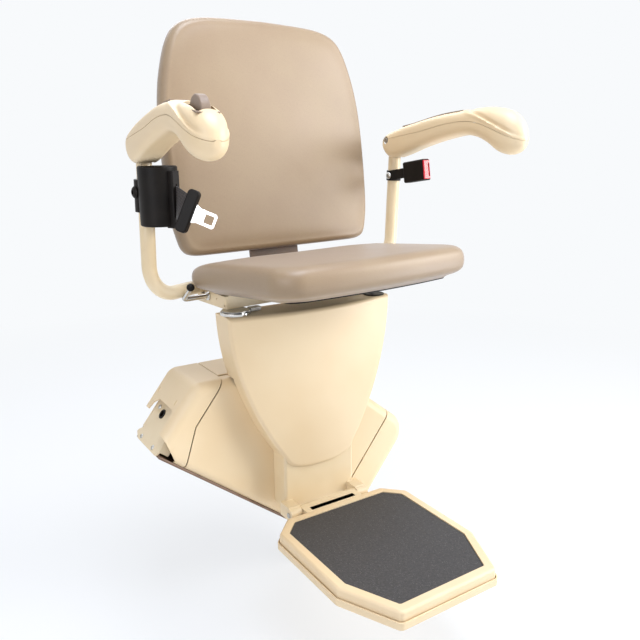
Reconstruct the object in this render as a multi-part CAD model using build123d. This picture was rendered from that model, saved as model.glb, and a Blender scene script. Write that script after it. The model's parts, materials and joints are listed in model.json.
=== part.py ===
from build123d import *
import math
import os

# Stairlift chair, millimetres. Origin: on the rail's centre line, where the carriage's rail
# centre plane crosses it under the middle of the footrest. +X runs along the stairs to the
# lower landing side, -Y towards the rider's feet, +Z up. The carriage lies along the rail,
# which drops towards +X at rail_angle. The seat is shown part way through its swivel.

rail_angle = 38.3          # slope of the rail
seat_turn = 5.0            # how far the seat has swivelled in the rest pose

# clearances
run_gap = 0.05             # radial running clearance of a shaft in its hole
fit_gap = 0.3              # clearance between separate covers and moving pieces

# rail that the carriage runs on
rail_height = 60.0
roller_radius = 17.0
roller_width = 24.0
roller_rim = 3.0
roller_bore = 5.0
roller_span = 300.0        # distance between the two pairs of rollers along the rail
axle_collar = 9.0
axle_head = 8.0
axle_head_thick = 3.0

# carriage, in rail coordinates: u down the rail, v square to it
carriage_u0 = -357.0
carriage_u1 = 148.0
carriage_v0 = -60.0
carriage_v1 = 239.0
carriage_top = 286.0       # level top of the upper end
carriage_front = -161.0
carriage_back = -35.0
chassis_sheet = 5.0
cover_wall = 2.5
cover_edge = 20.0          # rounding of the covers' front edges
cover_flange = 8.0         # inner flange that guides an end cover on the chassis
corner_top = 26.0
corner_peak = 60.0
corner_low = 46.0
corner_foot = 14.0
seam_upper = -313.0        # joint between front cover and upper end cover
seam_bend = 19.0           # below here that joint slants down the slope
seam_foot = -287.0
seam_lower = 76.0
seam_width = 0.8           # joint between fixed covers
edge_travel = 2.0          # travel of the end covers, which are safety edges
edge_gap = 2.6             # joint between an end cover and the fixed covers
split_y = -127.0           # joint between front cover and top cover
top_drop = 2.2             # the front cover lies this much lower than the top cover
end_plate_inset = 13.0     # end plate behind the end cover's face
end_plate_sheet = 4.0
end_plate_front = -147.0
end_plate_top = 44.0
end_plate_flange = 22.0
window_front = -138.0      # opening of the end covers
window_back = -52.0
window_top = 24.0
window_corner = 12.0
socket_y = -84.0           # collar for the hand-winding key
socket_v = 4.0
socket_outer = 9.0
socket_bore = 6.0
socket_length = 26.0
screw_radius = 4.6
screw_shank = 2.5
screw_length = 9.0
screw_y = (-120.0, -60.0)  # screws of the end plates
screw_v = (-52.0, 11.0)

# drive and what the covers hold
pinion_teeth = 15
pinion_module = 2.25
pinion_width = 22.0
pinion_shaft = 8.0
gearbox_radius = 34.0
gearbox_depth = 62.0
worm_offset = 30.0         # worm's height over the pinion's axis
worm_radius = 21.0
motor_radius = 30.0
motor_length = 120.0
battery_length = 66.0
battery_width = 86.0
battery_height = 40.0
battery_u = -296.0
battery_v = 34.0
battery_pitch = 74.0
battery_front = -146.0
tray_sheet = 3.0
board_length = 110.0       # control board
board_height = 70.0
board_u = -250.0
board_v = -48.0
board_standoff = 10.4
contact_u = -284.0
contact_length = 32.0
contact_pitch = 20.0

# pedestal
shield_top = 407.0
shield_half = 176.0
shield_side = [(shield_half, shield_top), (174.0, 372.0), (167.0, 325.0), (152.0, 270.0),
               (128.0, 210.0), (96.0, 150.0), (74.0, 116.0)]
shield_foot = 95.0
shield_edge_y = -192.0     # front face at the side edges
shield_bulge = 22.0        # how far the middle of the front face stands forward
shield_back = -139.0
shield_wall = 3.0
shield_corner = 9.0
back_panel = 2.5
column_half = 79.0
column_front = -205.0
column_foot = 18.0
column_sheet = 3.0
column_top = 150.0
column_corner = 6.0
mast_y = -168.0
mast_sheet = 4.0
arm_box_x = -20.0          # box arm between mast and chassis
arm_box_z = 190.0
arm_box_width = 80.0
arm_box_height = 60.0
arm_box_sheet = 4.0
mast_flange = 5.0

# swivel
swivel_x = -150.0
swivel_y = -166.0
swivel_post_radius = 12.0
swivel_bush_wall = 2.5
swivel_tube_wall = 3.5
swivel_depth = 52.0
disc_radius = 27.0
disc_height = 6.0
notch_half = 3.2
notch_depth = 4.0
notch_turns = (0.0, -45.0, -80.0)  # headings of the notches: ride, part way, upper landing
latch_travel = 5.0
latch_length = 24.0
latch_half = 7.0
blank_x = 152.0            # capped hole for a swivel on the other side
blank_y = -172.0
blank_radius = 21.0

# seat base
base_half = 163.0
base_front = -157.0
base_back = -48.0
base_step_y = -76.0        # the top steps down behind here, under the arm tube
base_floor = 415.0
base_top = 438.0
base_sheet = 2.5
seat_rake = 5.0
fold_y = -134.0            # axis on which the seat cushion folds up
fold_z = 484.0
fold_ear_x = 96.0
fold_ear_sheet = 5.0
fold_ear_radius = 6.0
fold_pin_radius = 3.5
fold_lug_sheet = 4.0
lever_y = -95.0            # swivel lever
lever_z = 430.0
lever_radius = 4.5
lever_end = -214.0
knob_y = -126.0
knob_z = 457.0
knob_radius = 7.0
peg_x = 153.0              # rubber stop under the seat board
peg_y = -190.0
peg_foot = 411.0
peg_radius = 3.6

# seat cushion
cushion_half = 206.0
cushion_front = -424.0
cushion_rear = -90.0
cushion_bow = 22.0         # how far the middle of the front stands forward
cushion_corner = 60.0
cushion_thick = 46.0
cushion_crown = 9.0
cushion_under = 444.0      # height of the underside over the base's front edge
cushion_top_edge = 16.0
cushion_low_edge = 12.0
board_inset = 34.0
board_sheet = 5.0

# backrest, in its own coordinates: x across, z up along the lean
back_lean = 8.0
back_low = 505.0
back_height = 418.0
back_side = [(197.0, 0.0), (213.0, 26.0), (222.0, 66.0), (223.5, 150.0), (222.0, 240.0),
             (214.0, 300.0), (201.0, 345.0), (186.0, 376.0)]
back_mid_y = -92.0         # middle of the thickness at the bottom edge
back_thick = 40.0
back_crown = 9.0
back_crown_reach = 263.0
back_front_edge = 15.0
back_rear_edge = 8.0
back_board_sheet = 6.0
back_board_inset = 7.0
bracket_half = 56.0
bracket_sheet = 5.0
bracket_top = 250.0

# arm frame
tube_radius = 12.7
tube_wall = 2.0
post_x = 280.0
post_y = -106.0
post_lean = 3.0
post_top = 700.0
run_y = -60.0
run_z = 444.0
run_half = 150.0
post_bend = 58.0
run_bend = 90.0

# arms, in their own square coordinates: (y, z) outlines
arm_splay = 3.5
arm_half = 25.0
arm_wall = 2.6
arm_edge = 9.0             # rounding of the arm's long edges
arm_joint = 0.4            # joint between the upper and the lower moulding
pivot_y = -113.0
pivot_z = 705.0
pivot_radius = 5.0
barrel_radius = 10.0
barrel_half = 14.0
arm_top = [(-101.0, 706.0), (-112.0, 718.0), (-165.0, 734.0), (-240.0, 749.0), (-320.0, 757.0),
           (-372.0, 757.0), (-408.0, 747.0), (-427.0, 726.0), (-431.0, 700.0)]
arm_low = [(-420.0, 680.0), (-400.0, 675.5), (-380.0, 683.0), (-360.0, 698.0), (-335.0, 708.5),
           (-305.0, 712.0), (-255.0, 705.0), (-205.0, 694.0), (-150.0, 678.0), (-122.0, 673.0),
           (-106.0, 684.0)]
arm_seam = [(-80.0, 706.0), (-119.0, 708.0), (-207.0, 721.0), (-272.0, 733.0), (-321.0, 735.0),
            (-356.0, 728.0), (-401.0, 710.0), (-450.0, 698.0)]
pad_half = 13.0            # soft strip in the arm's top
pad_rear = -150.0
pad_front = -300.0
pad_depth = 1.1
pad_stand = 1.4
toggle_x = -2.0
toggle_y = -334.0
toggle_z = 746.0
toggle_radius = 21.0
toggle_thick = 14.0
toggle_edge = 2.4
toggle_pivot_z = 738.0
toggle_pivot_radius = 3.0
bezel_half_x = 16.0
bezel_half_y = 30.0
bezel_hole_x = 12.6
bezel_hole_y = 22.6
bezel_stand = 1.6
bezel_lug = 3.1

# belt
retractor_radius = 32.0
retractor_height = 96.0
retractor_z = 570.0
retractor_dx = 12.0
retractor_dy = -25.0
belt_turn = -70.0          # heading of the webbing's slot, seen from above
belt_slot_z = 612.0
guide_end = 40.0
guide_half = 8.5
webbing_width = 48.0
webbing_thick = 1.4
webbing_steps = 8          # flat runs that the webbing's bend is made of
grip_length = 70.0
grip_depth = 20.0
grip_thick = 12.0
tongue_sheet = 2.4
tongue_length = 40.0
tongue_hole = (15.0, 14.0)
tongue_half = 12.0
tongue_root_half = 15.0
strap_height = 20.0        # band that carries the buckle
strap_sheet = 2.4
strap_screw = 2.5
clamp_wall = 5.0           # the retractor's clamp round the post
clamp_bolt = 3.0
buckle_z = 633.0
buckle_pitch = 8.0
buckle_rear = -47.0
buckle_front = -102.0
buckle_offset = -8.0       # the buckle's middle, inwards of the post's centre line
buckle_width = 42.0
buckle_thick = 22.0
buckle_wall = 2.2
button_travel = 3.0
button_length = 21.0
mouth_width = 3.4          # mouth for the belt's tongue
mouth_height = 26.0

# footrest
mat_half = 127.0
mat_rear = -275.0
mat_front = -559.0
mat_top = 32.0
mat_sheet = 3.0
mat_cut_rear = 27.0
mat_cut_front = (40.0, 86.0)
border = 17.0
border_rise = 1.5
frame_height = 20.0
rib_sheet = 3.0
pan_lip = 3.6
pan_sheet = 2.2
pan_rim_top = 17.0
pan_floor = 3.0
pan_travel = 4.0
pan_post_radius = 4.0
pan_post_depth = 11.0
pan_post_spots = [(-96.0, -330.0), (96.0, -330.0), (-80.0, -510.0), (80.0, -510.0)]
hinge_y = -232.0
hinge_z = 21.0
hinge_pin_radius = 5.0
hinge_barrel_radius = 11.5
hinge_ear_in = 64.0
hinge_ear_out = 88.0
hinge_ear_radius = 12.5

sin_a = math.sin(math.radians(rail_angle))
cos_a = math.cos(math.radians(rail_angle))
carriage_mid = (carriage_u0 + carriage_u1) / 2
web_front = carriage_back - chassis_sheet
cover_foot = carriage_v0 + chassis_sheet + fit_gap
roller_v = rail_height / 2 + roller_radius
pinion_pitch = pinion_teeth * pinion_module / 2
pinion_v = rail_height / 2 + pinion_pitch
motor_u = carriage_mid + gearbox_radius + 10
swivel_tube_outer = swivel_post_radius + swivel_bush_wall + swivel_tube_wall
platform_top = mat_top + border_rise
platform_floor = platform_top - frame_height
platform_rear = mat_rear + border
belt_x = retractor_dx - post_x
grip_centre = Vector(-252.0, -208.0, 596.7)
grip_long = Vector(-0.367, 0.157, -0.917).normalized()
grip_out = Vector(0.55, -0.758, -0.35).normalized()
far = 900.0                # reach of cutting shapes
offset_steps = 6           # points along each curve of a grown outline


def along_rail(shape):
    """From rail coordinates (u, y, v) to the part's own frame."""
    return Rot(0, rail_angle, 0) * shape


def on_seat(shape):
    """From the seat's square-on coordinates to its swivelled place."""
    return Pos(swivel_x, swivel_y, 0) * Rot(0, 0, seat_turn) * Pos(-swivel_x, -swivel_y, 0) * shape


def block(x0, x1, y0, y1, z0, z1):
    return Pos((x0 + x1) / 2, (y0 + y1) / 2, (z0 + z1) / 2) * Box(abs(x1 - x0), abs(y1 - y0), abs(z1 - z0))


def rod(start, end, radius):
    """Cylinder from start to end."""
    a, b = Vector(*start), Vector(*end)
    return extrude(Plane(a, z_dir=(b - a).normalized()) * Circle(radius), (b - a).length)


def push(face, amount, direction):
    """Extrude a face along a stated direction, whichever way the face looks."""
    return extrude(face, amount, dir=direction)


def grown(face, amount, kind=Kind.INTERSECTION):
    """A face grown or shrunk, its outline redrawn as lines, arcs and plain splines."""
    if not amount:
        return face
    edges = []
    for edge in offset(face, amount, kind=kind).faces()[0].outer_wire().edges():
        if edge.geom_type in (GeomType.LINE, GeomType.CIRCLE):
            edges.append(edge)
        else:
            points = [edge @ (step / offset_steps) for step in range(offset_steps + 1)]
            edges.append(Spline(*points, tangents=[edge % 0, edge % 1]).edge())
    return Face(Wire.combine(edges)[0])


def side_slab(points, x0, x1):
    """Slab with a (y, z) outline between two x values."""
    face = Plane.YZ * make_face(Polyline(*points, close=True))
    return Pos(min(x0, x1), 0, 0) * push(face, abs(x1 - x0), (1, 0, 0))


def front_slab(points, y0, y1):
    """Slab with an (x, z) outline between two y values."""
    face = Plane.XZ * make_face(Polyline(*points, close=True))
    return Pos(0, min(y0, y1), 0) * push(face, abs(y1 - y0), (0, 1, 0))


def biggest(shape):
    return shape.solids().sort_by(SortBy.VOLUME)[-1]


def level_v(u, z):
    """v of the point of the rail plane that lies at u and at height z."""
    return (z + u * sin_a) / cos_a


def dome_screw(place, direction, radius, shank, length):
    """Domed socket-head screw: head seated at place, shank running along direction."""
    plane = Plane(Vector(*place), z_dir=Vector(*direction).normalized() * -1)
    rim, rise = radius * 0.08, radius * 0.5
    profile = make_face(Line((0, 0), (radius, 0)) + Line((radius, 0), (radius, rim))
                        + ThreePointArc((radius, rim), (radius * 0.72, radius * 0.36), (0, rise))
                        + Line((0, rise), (0, 0)))
    head = revolve(Plane.XZ * profile, Axis.Z)
    head -= Pos(0, 0, radius * 0.25) * extrude(RegularPolygon(radius * 0.42, 6), radius)
    return plane * (head + Pos(0, 0, -length / 2) * Cylinder(shank, length))


# ---------------------------------------------------------------- carriage

def carriage_outline(inset=0.0, top=carriage_top):
    """Side outline of the covers in rail coordinates, rounded at its corners."""
    peak_u = (carriage_v1 * cos_a - top) / sin_a
    corners = [
        (carriage_u0, carriage_v0), (carriage_u0, level_v(carriage_u0, top)),
        (peak_u, carriage_v1), (carriage_u1, carriage_v1), (carriage_u1, carriage_v0),
    ]
    face = Plane.XZ * make_face(Polyline(*corners, close=True))
    radii = [corner_foot, corner_top, corner_peak, corner_low, corner_foot]
    for (u, v), radius in zip(corners, radii):
        corner = face.vertices().sort_by_distance(Vector(u, 0, v))[0]
        face = fillet(corner, radius)
    return grown(face, -inset)


def envelope(inset=0.0, top=carriage_top):
    """Solid that the covers enclose, front edges rounded."""
    depth = carriage_back - carriage_front - inset
    body = Pos(0, carriage_back, 0) * push(carriage_outline(inset, top), depth, (0, -1, 0))
    front = body.faces().sort_by(Axis.Y)[0]
    return fillet(front.edges(), cover_edge - inset)


def end_region(sign, gap):
    """Everything beyond an end cover's joint; sign is -1 at the upper end."""
    if sign < 0:
        edge = [(seam_upper, far), (seam_upper, seam_bend), (seam_foot, carriage_v0 + 10), (seam_foot, -far)]
    else:
        edge = [(seam_lower, far), (seam_lower, -far)]
    edge = [(u + sign * gap / 2, v) for u, v in edge]
    return front_slab(edge + [(sign * far, -far), (sign * far, far)], -far, 0)


def chassis():
    """Folded chassis: web, floor, battery tray, and the axles of the rail rollers."""
    depth = chassis_sheet
    web = push(carriage_outline(cover_wall + fit_gap), depth, (0, -1, 0))
    web -= end_region(-1, -2 * edge_travel) + end_region(1, -2 * edge_travel)
    ends = push(carriage_outline(cover_wall + edge_travel + 2 * fit_gap), depth, (0, -1, 0))
    body = Pos(0, carriage_back, 0) * (web + ends)
    u0 = carriage_u0 + end_plate_inset + end_plate_sheet
    u1 = carriage_u1 - end_plate_inset - end_plate_sheet
    for end in (u0, u1):
        body -= block(end, math.copysign(far, end), -far, far, -far, end_plate_top + fit_gap)
    body += block(u0, u1, web_front, carriage_back, carriage_v0, 0)
    floor = block(u0, u1, carriage_front + 4, web_front + 1, carriage_v0, carriage_v0 + chassis_sheet)
    body += fillet(floor.edges().filter_by(Axis.X).group_by(Axis.Y)[0], 2)
    tray_end = battery_u + battery_pitch + battery_length
    body += block(battery_u - 2, tray_end + 2, battery_front, web_front + 1, battery_v - tray_sheet, battery_v)
    body += block(battery_u - 2, tray_end + 2, battery_front - tray_sheet, battery_front,
                  battery_v - tray_sheet, battery_v + 12)
    for u in (carriage_mid - roller_span / 2, carriage_mid + roller_span / 2):
        for v in (-roller_v, roller_v):
            tip = roller_width / 2 + fit_gap
            body += rod((u, web_front, v), (u, tip + axle_head_thick, v), roller_bore - run_gap)
            body += rod((u, web_front, v), (u, -tip, v), axle_collar)
            body += rod((u, tip, v), (u, tip + axle_head_thick, v), axle_head)
    body -= rod((carriage_mid, web_front - 1, pinion_v), (carriage_mid, carriage_back + 1, pinion_v),
                pinion_shaft + 4)
    return body


def rail_roller():
    """Grooved guide wheel, flanged at both sides of the rail's bead."""
    half, rim = roller_width / 2, roller_radius + roller_rim
    profile = Polyline((roller_bore, -half), (rim, -half), (rim, -half + 3), (roller_radius, -half + 6),
                       (roller_radius, half - 6), (rim, half - 3), (rim, half), (roller_bore, half), close=True)
    return revolve(Plane.XY * make_face(profile), Axis.Y)


def drive_pinion():
    """Spur pinion in one piece with its shaft."""
    root = pinion_pitch - 1.25 * pinion_module
    tip = pinion_pitch + pinion_module
    flank = [(root - 1, 0.30), (root, 0.29), (pinion_pitch, 0.235), (tip, 0.12)]
    half = [(radius, share * math.pi * pinion_module) for radius, share in flank]
    tooth = make_face(Polyline(*[(x, -y) for x, y in half], *reversed(half), close=True))
    face = Circle(root)
    for number in range(pinion_teeth):
        face += Rot(0, 0, 360 * number / pinion_teeth) * tooth
    gear = extrude(Plane.XZ * face, pinion_width / 2, both=True)
    gear += rod((0, -pinion_width / 2, 0), (0, web_front - gearbox_depth / 2, 0), pinion_shaft)
    gear += rod((0, -pinion_width / 2, 0), (0, carriage_back + 1.5, 0), pinion_shaft + 3)
    return Pos(carriage_mid, 0, pinion_v) * gear


def screw_spots(sign):
    """Seats of an end plate's four screws, on its outer face."""
    face = carriage_u0 + end_plate_inset if sign < 0 else carriage_u1 - end_plate_inset
    return [(face, y, v) for y in screw_y for v in screw_v]


def end_plate(sign):
    """Sheet end plate with a forward flange; sign is -1 at the upper end."""
    face = carriage_u0 + end_plate_inset if sign < 0 else carriage_u1 - end_plate_inset
    back, low = carriage_back + 3, carriage_v0
    points = [(end_plate_front, low + 6), (end_plate_front + 6, low), (back - 18, low), (back, low + 9),
              (back - 2, low + 14), (back - 13, low + 22), (back - 13, end_plate_top),
              (end_plate_front, end_plate_top)]
    plate = side_slab(points, face, face - sign * end_plate_sheet)
    plate += block(face, face - sign * end_plate_flange, end_plate_front, end_plate_front + end_plate_sheet,
                   low + 9, end_plate_top - 14)
    plate += block(face, face - sign * end_plate_flange, web_front - end_plate_sheet, web_front,
                   low + 24, end_plate_top - 14)
    for u, y, v in screw_spots(sign):
        plate -= rod((u - 20, y, v), (u + 20, y, v), screw_shank)
    if sign < 0:
        plate -= rod((face - 20, socket_y, socket_v), (face + 20, socket_y, socket_v), socket_outer)
    return plate


def hand_wind_socket():
    """Guide collar for the hand-winding key, with a flange behind the end plate."""
    u0 = carriage_u0 + end_plate_inset
    lip = u0 - 1.5
    body = rod((lip, socket_y, socket_v), (lip + socket_length, socket_y, socket_v), socket_outer)
    body += rod((u0 + end_plate_sheet, socket_y, socket_v), (u0 + end_plate_sheet + 3, socket_y, socket_v),
                socket_outer + 5)
    return body - rod((lip - 1, socket_y, socket_v), (lip + socket_length + 1, socket_y, socket_v), socket_bore)


def housing_screws():
    group = []
    for sign in (-1, 1):
        for spot in screw_spots(sign):
            group.append(dome_screw(spot, (-sign, 0, 0), screw_radius, screw_shank, screw_length))
    return Compound(group)


def end_cover(sign):
    """Moulded end cover with its window; sign is -1 at the upper end."""
    face = carriage_u0 if sign < 0 else carriage_u1
    shell = envelope() - envelope(cover_wall)
    ring = carriage_outline(cover_wall - 0.5) - carriage_outline(cover_wall + cover_flange)
    ring = Pos(0, web_front - fit_gap, 0) * push(ring, cover_wall, (0, -1, 0))
    shell += ring & block(-far, far, -far, far, end_plate_top + 2, far)
    shell &= end_region(sign, edge_gap)
    shell &= block(-far, far, -far, carriage_back + 1, cover_foot, far)
    front, back, top = window_front, window_back, window_top
    low_edge = [(front + 1, -far), (front, -20), (front + 2, top - 4), (front + 6, top),
                (back - window_corner, top), (back, top - window_corner), (back + 4, top - 26),
                (10, top - 26), (10, -far)]
    shell -= side_slab(low_edge, face + sign * 16, face - sign * (cover_wall + 0.5))
    reach = 46.0
    cut = [(face + sign * 2, carriage_v0 + 38), (face - sign * reach, carriage_v0 + 9),
           (face - sign * reach, carriage_v0 - 20), (face + sign * 20, carriage_v0 - 20)]
    shell -= front_slab(cut, -200, -100)
    if sign < 0:
        for y in (-128.0, -44.0):
            groove = Pos(face - 0.2, y, 37) * Rot(0, 90, 0) * extrude(SlotOverall(11, 2.6), 1.2)
            shell -= groove
    return biggest(shell)


def arm_box(grow, y0, y1):
    """The box arm between mast and chassis, grown all round."""
    half = arm_box_width / 2 + grow
    return block(arm_box_x - half, arm_box_x + half, y0, y1, arm_box_z - grow, arm_box_z + arm_box_height + grow)


def middle_cover(top, y0, y1):
    """Part of the covers between the end covers and between two y values."""
    shell = envelope(0, top) - envelope(cover_wall, top)
    shell -= end_region(-1, -edge_gap) + end_region(1, -edge_gap)
    shell &= block(-far, far, y0, y1, cover_foot, far)
    return biggest(along_rail(shell) - arm_box(1.0, -200, 0))


def front_cover():
    return middle_cover(carriage_top - top_drop, -far, split_y - seam_width / 2)


def top_cover():
    return middle_cover(carriage_top, split_y + seam_width / 2, carriage_back + 1)


def gearbox():
    """Worm gearbox bolted to the chassis, output bore on the pinion's axis."""
    u, v = carriage_mid, pinion_v
    y0, y1 = web_front - gearbox_depth, web_front
    case = rod((u, y1, v), (u, y0, v), gearbox_radius)
    case = fillet(case.edges().filter_by(GeomType.CIRCLE).sort_by(Axis.Y)[0], 5)
    worm_y = (y0 + y1) / 2
    case += rod((u - gearbox_radius, worm_y, v + worm_offset), (motor_u, worm_y, v + worm_offset), worm_radius)
    case += block(u - gearbox_radius - 10, u + gearbox_radius + 10, y1 - 8, y1, v - 20, v + 20)
    for side in (-1, 1):
        rib = u + side * gearbox_radius * 0.76
        case += block(rib - 3, rib + 3, y0 + 12, y1, v - 30, v + 30)
    return case - rod((u, web_front - gearbox_depth / 2 - 7, v), (u, y1 + 1, v), pinion_shaft + run_gap)


def motor():
    """Permanent-magnet motor with its end bell and brake cap."""
    y, v = web_front - gearbox_depth / 2, pinion_v + worm_offset
    end = motor_u + motor_length
    body = rod((motor_u, y, v), (motor_u + 6, y, v), motor_radius - 6)
    body += rod((motor_u + 6, y, v), (end, y, v), motor_radius)
    body = fillet(body.edges().filter_by(GeomType.CIRCLE).sort_by(Axis.X)[-1], 5)
    body += rod((end - 1, y, v), (end + 12, y, v), motor_radius - 12)
    for angle in range(45, 360, 90):
        tie = rod((motor_u + 6, 0, motor_radius + 1), (end - 8, 0, motor_radius + 1), 3)
        body += Pos(0, y, v) * Rot(angle, 0, 0) * tie
    return body


def batteries():
    """Two sealed batteries side by side, with their terminals."""
    group = []
    for number in range(2):
        u0, v1 = battery_u + number * battery_pitch, battery_v + battery_height
        case = block(u0, u0 + battery_length, battery_front, battery_front + battery_width, battery_v, v1)
        case = fillet(case.edges().filter_by(Axis.Z), 3)
        for y in (battery_front + 14, battery_front + battery_width - 14):
            case += block(u0 + 10, u0 + 16, y - 4, y + 4, v1, v1 + 7)
        group.append(case)
    return Compound(group)


def control_board():
    """Printed circuit board on its standoffs, with relays and a connector row."""
    back = web_front - board_standoff
    board = block(board_u, board_u + board_length, back - 1.6, back, board_v, board_v + board_height)
    for u in (board_u + 6, board_u + board_length - 6):
        for v in (board_v + 6, board_v + board_height - 6):
            board += rod((u, web_front, v), (u, back - 1, v), 3)
    for number in range(3):
        u = board_u + 14 + number * 24
        board += block(u, u + 18, back - 16.6, back - 1, board_v + 38, board_v + 62)
    board += block(board_u + 14, board_u + 94, back - 11.6, back - 1, board_v + 6, board_v + 16)
    return board


def charge_contacts():
    """Two sprung charging shoes on the chassis's back, which wipe the rail's end contacts."""
    group = []
    for v in (-contact_pitch / 2, contact_pitch / 2):
        pad = block(contact_u - contact_length / 2, contact_u + contact_length / 2,
                    carriage_back, carriage_back + 5, v - 5, v + 5)
        group.append(pad + rod((contact_u, carriage_back + 4, v), (contact_u, carriage_back + 12, v), 4))
    return Compound(group)


# ---------------------------------------------------------------- pedestal

def shield_outline(inset=0.0):
    """Front outline of the pedestal cover: wide at the top, tapering to a round tip."""
    side_x, side_z = shield_side[-1]
    right = Spline(shield_side, tangents=[(-0.02, -1), (-0.52, -0.85)])
    tip = Spline((side_x, side_z), (side_x * 0.6, shield_foot + 3.5), (0.0, shield_foot),
                 tangents=[(-0.52, -0.85), (-1, 0)])
    half = right.edges() + tip.edges()
    lines = list(half) + [edge.mirror(Plane.YZ) for edge in half]
    lines.append(Line((-shield_half, shield_top), (shield_half, shield_top)).edge())
    face = Face(Wire.combine(lines)[0])
    return grown(face, -inset)


def shield_front(x, inset=0.0):
    """y of the pedestal cover's bulging front face."""
    return shield_edge_y + inset - shield_bulge * (1 - (x / shield_half) ** 2)


def shield_body(inset=0.0):
    """Convex slab whose sides follow the shield outline."""
    outline = push(Plane.XZ * shield_outline(inset), far, (0, -1, 0))
    wide = shield_half + 40
    rim, mid = shield_front(wide, inset), shield_front(0, inset)
    plan = make_face(ThreePointArc((-wide, rim), (0, mid), (wide, rim)) + Line((wide, rim), (wide, 0))
                     + Line((wide, 0), (-wide, 0)) + Line((-wide, 0), (-wide, rim)))
    return outline & push(plan, far, (0, 0, 1))


def carriage_room(gap):
    """Space of the carriage, grown by a gap, in the part's own frame."""
    room = push(carriage_outline(-gap), carriage_back - carriage_front + gap, (0, -1, 0))
    return along_rail(Pos(0, carriage_back, 0) * room)


def shield_cover():
    """Thin moulded pedestal cover, notched round the carriage and the column."""
    body = shield_body()
    front = body.faces().sort_by(Axis.Y)[0]
    shell = fillet(front.edges(), shield_corner) - shield_body(shield_wall)
    shell &= block(-far, far, -far, shield_back, 0, far)
    shell -= carriage_room(fit_gap)
    half = column_half + fit_gap
    shell -= block(-half, half, column_front - fit_gap, 0, 0, column_top + 6)
    for x, y, radius in ((swivel_x, swivel_y, swivel_tube_outer + fit_gap), (blank_x, blank_y, blank_radius - 6)):
        shell -= rod((x, y, shield_top - 20), (x, y, shield_top + 5), radius)
    return biggest(shell)


def pedestal_frame():
    """Welded mast: plate, swivel tube and the box arm that ties it to the chassis."""
    plate = push(Plane.XZ * shield_outline(shield_wall + 1.5), mast_sheet, (0, 1, 0))
    plate = Pos(0, mast_y, 0) * plate
    narrow = column_half - column_sheet
    for side in (-1, 1):
        plate -= block(side * narrow, side * far, -200, -100, 0, column_top + 4)
    frame = plate + arm_box(0, mast_y + 1, web_front)
    frame -= arm_box(-arm_box_sheet, mast_y + mast_sheet, 0)
    top = shield_top - shield_wall - fit_gap
    tube_floor = shield_top - swivel_depth
    frame += rod((swivel_x, swivel_y, tube_floor), (swivel_x, swivel_y, shield_top), swivel_tube_outer)
    flange = shield_half - 16
    frame += block(-flange, flange, shield_edge_y + 12, shield_back - 6, top - mast_flange, top)
    frame -= rod((swivel_x, swivel_y, tube_floor - 5), (swivel_x, swivel_y, shield_top + 5),
                 swivel_post_radius + swivel_bush_wall)
    return frame


def pedestal_back_cover():
    """Flat panel that closes the pedestal above the carriage."""
    panel = push(Plane.XZ * shield_outline(shield_wall + fit_gap), back_panel, (0, -1, 0))
    panel = Pos(0, shield_back, 0) * panel
    panel &= block(-far, far, -200, -100, carriage_top + 1.5, shield_top - shield_wall - fit_gap)
    return biggest(panel - carriage_room(fit_gap))


def column():
    """Folded column channel with the ears of the footrest hinge."""
    sheet = column_sheet
    body = block(-column_half, column_half, column_front, carriage_front - fit_gap, column_foot, column_top)
    body = fillet(body.edges().filter_by(Axis.Z).group_by(Axis.Y)[0], column_corner)
    body -= block(-column_half + sheet, column_half - sheet, column_front + sheet, 0,
                  column_foot + sheet, column_top + 5)
    radius = hinge_ear_radius
    for side in (-1, 1):
        x0, x1 = side * hinge_ear_in, side * hinge_ear_out
        ear = block(x0, x1, hinge_y, column_front + 6, hinge_z - radius, hinge_z + radius + 2)
        ear += rod((min(x0, x1), hinge_y, hinge_z), (max(x0, x1), hinge_y, hinge_z), radius)
        body += ear
    return body - rod((-far, hinge_y, hinge_z), (far, hinge_y, hinge_z), hinge_pin_radius)


def swivel_disc():
    """Chrome bearing disc with the latch notches in its rim."""
    z0, z1 = shield_top + 0.1, shield_top + disc_height
    disc = rod((swivel_x, swivel_y, z0), (swivel_x, swivel_y, z1), disc_radius)
    disc = chamfer(disc.edges().filter_by(GeomType.CIRCLE).sort_by(Axis.Z)[-1], 1.2)
    disc -= rod((swivel_x, swivel_y, z0 - 1), (swivel_x, swivel_y, z1 + 1), swivel_post_radius + fit_gap)
    for turn in notch_turns:
        notch = block(disc_radius - notch_depth, disc_radius + 4, -notch_half, notch_half, z0 - 1, z1 + 1)
        disc -= Pos(swivel_x, swivel_y, 0) * Rot(0, 0, turn) * notch
    return disc


def swivel_bush():
    z0, z1 = shield_top - swivel_depth, shield_top
    ring = rod((swivel_x, swivel_y, z0), (swivel_x, swivel_y, z1), swivel_post_radius + swivel_bush_wall)
    return ring - rod((swivel_x, swivel_y, z0 - 1), (swivel_x, swivel_y, z1 + 1), swivel_post_radius + run_gap)


def blanking_disc():
    """Moulded cap over the pedestal's second swivel hole."""
    cap = rod((blank_x, blank_y, shield_top + 0.1), (blank_x, blank_y, shield_top + 2.2), blank_radius)
    cap = fillet(cap.edges().filter_by(GeomType.CIRCLE).sort_by(Axis.Z)[-1], 1.2)
    return cap + rod((blank_x, blank_y, shield_top - shield_wall), (blank_x, blank_y, shield_top + 1),
                     blank_radius - 6.2)


# ---------------------------------------------------------------- footrest

def mat_outline(grow=0.0):
    """Octagon of the footrest: mat size, grown outwards by grow."""
    cut_x, cut_y = mat_cut_front
    half = [(mat_half - mat_cut_rear, mat_rear), (mat_half, mat_rear - mat_cut_rear),
            (mat_half, mat_front + cut_y), (mat_half - cut_x, mat_front)]
    face = make_face(Polyline(*half, *[(-x, y) for x, y in reversed(half)], close=True))
    return grown(face, grow)


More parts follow.
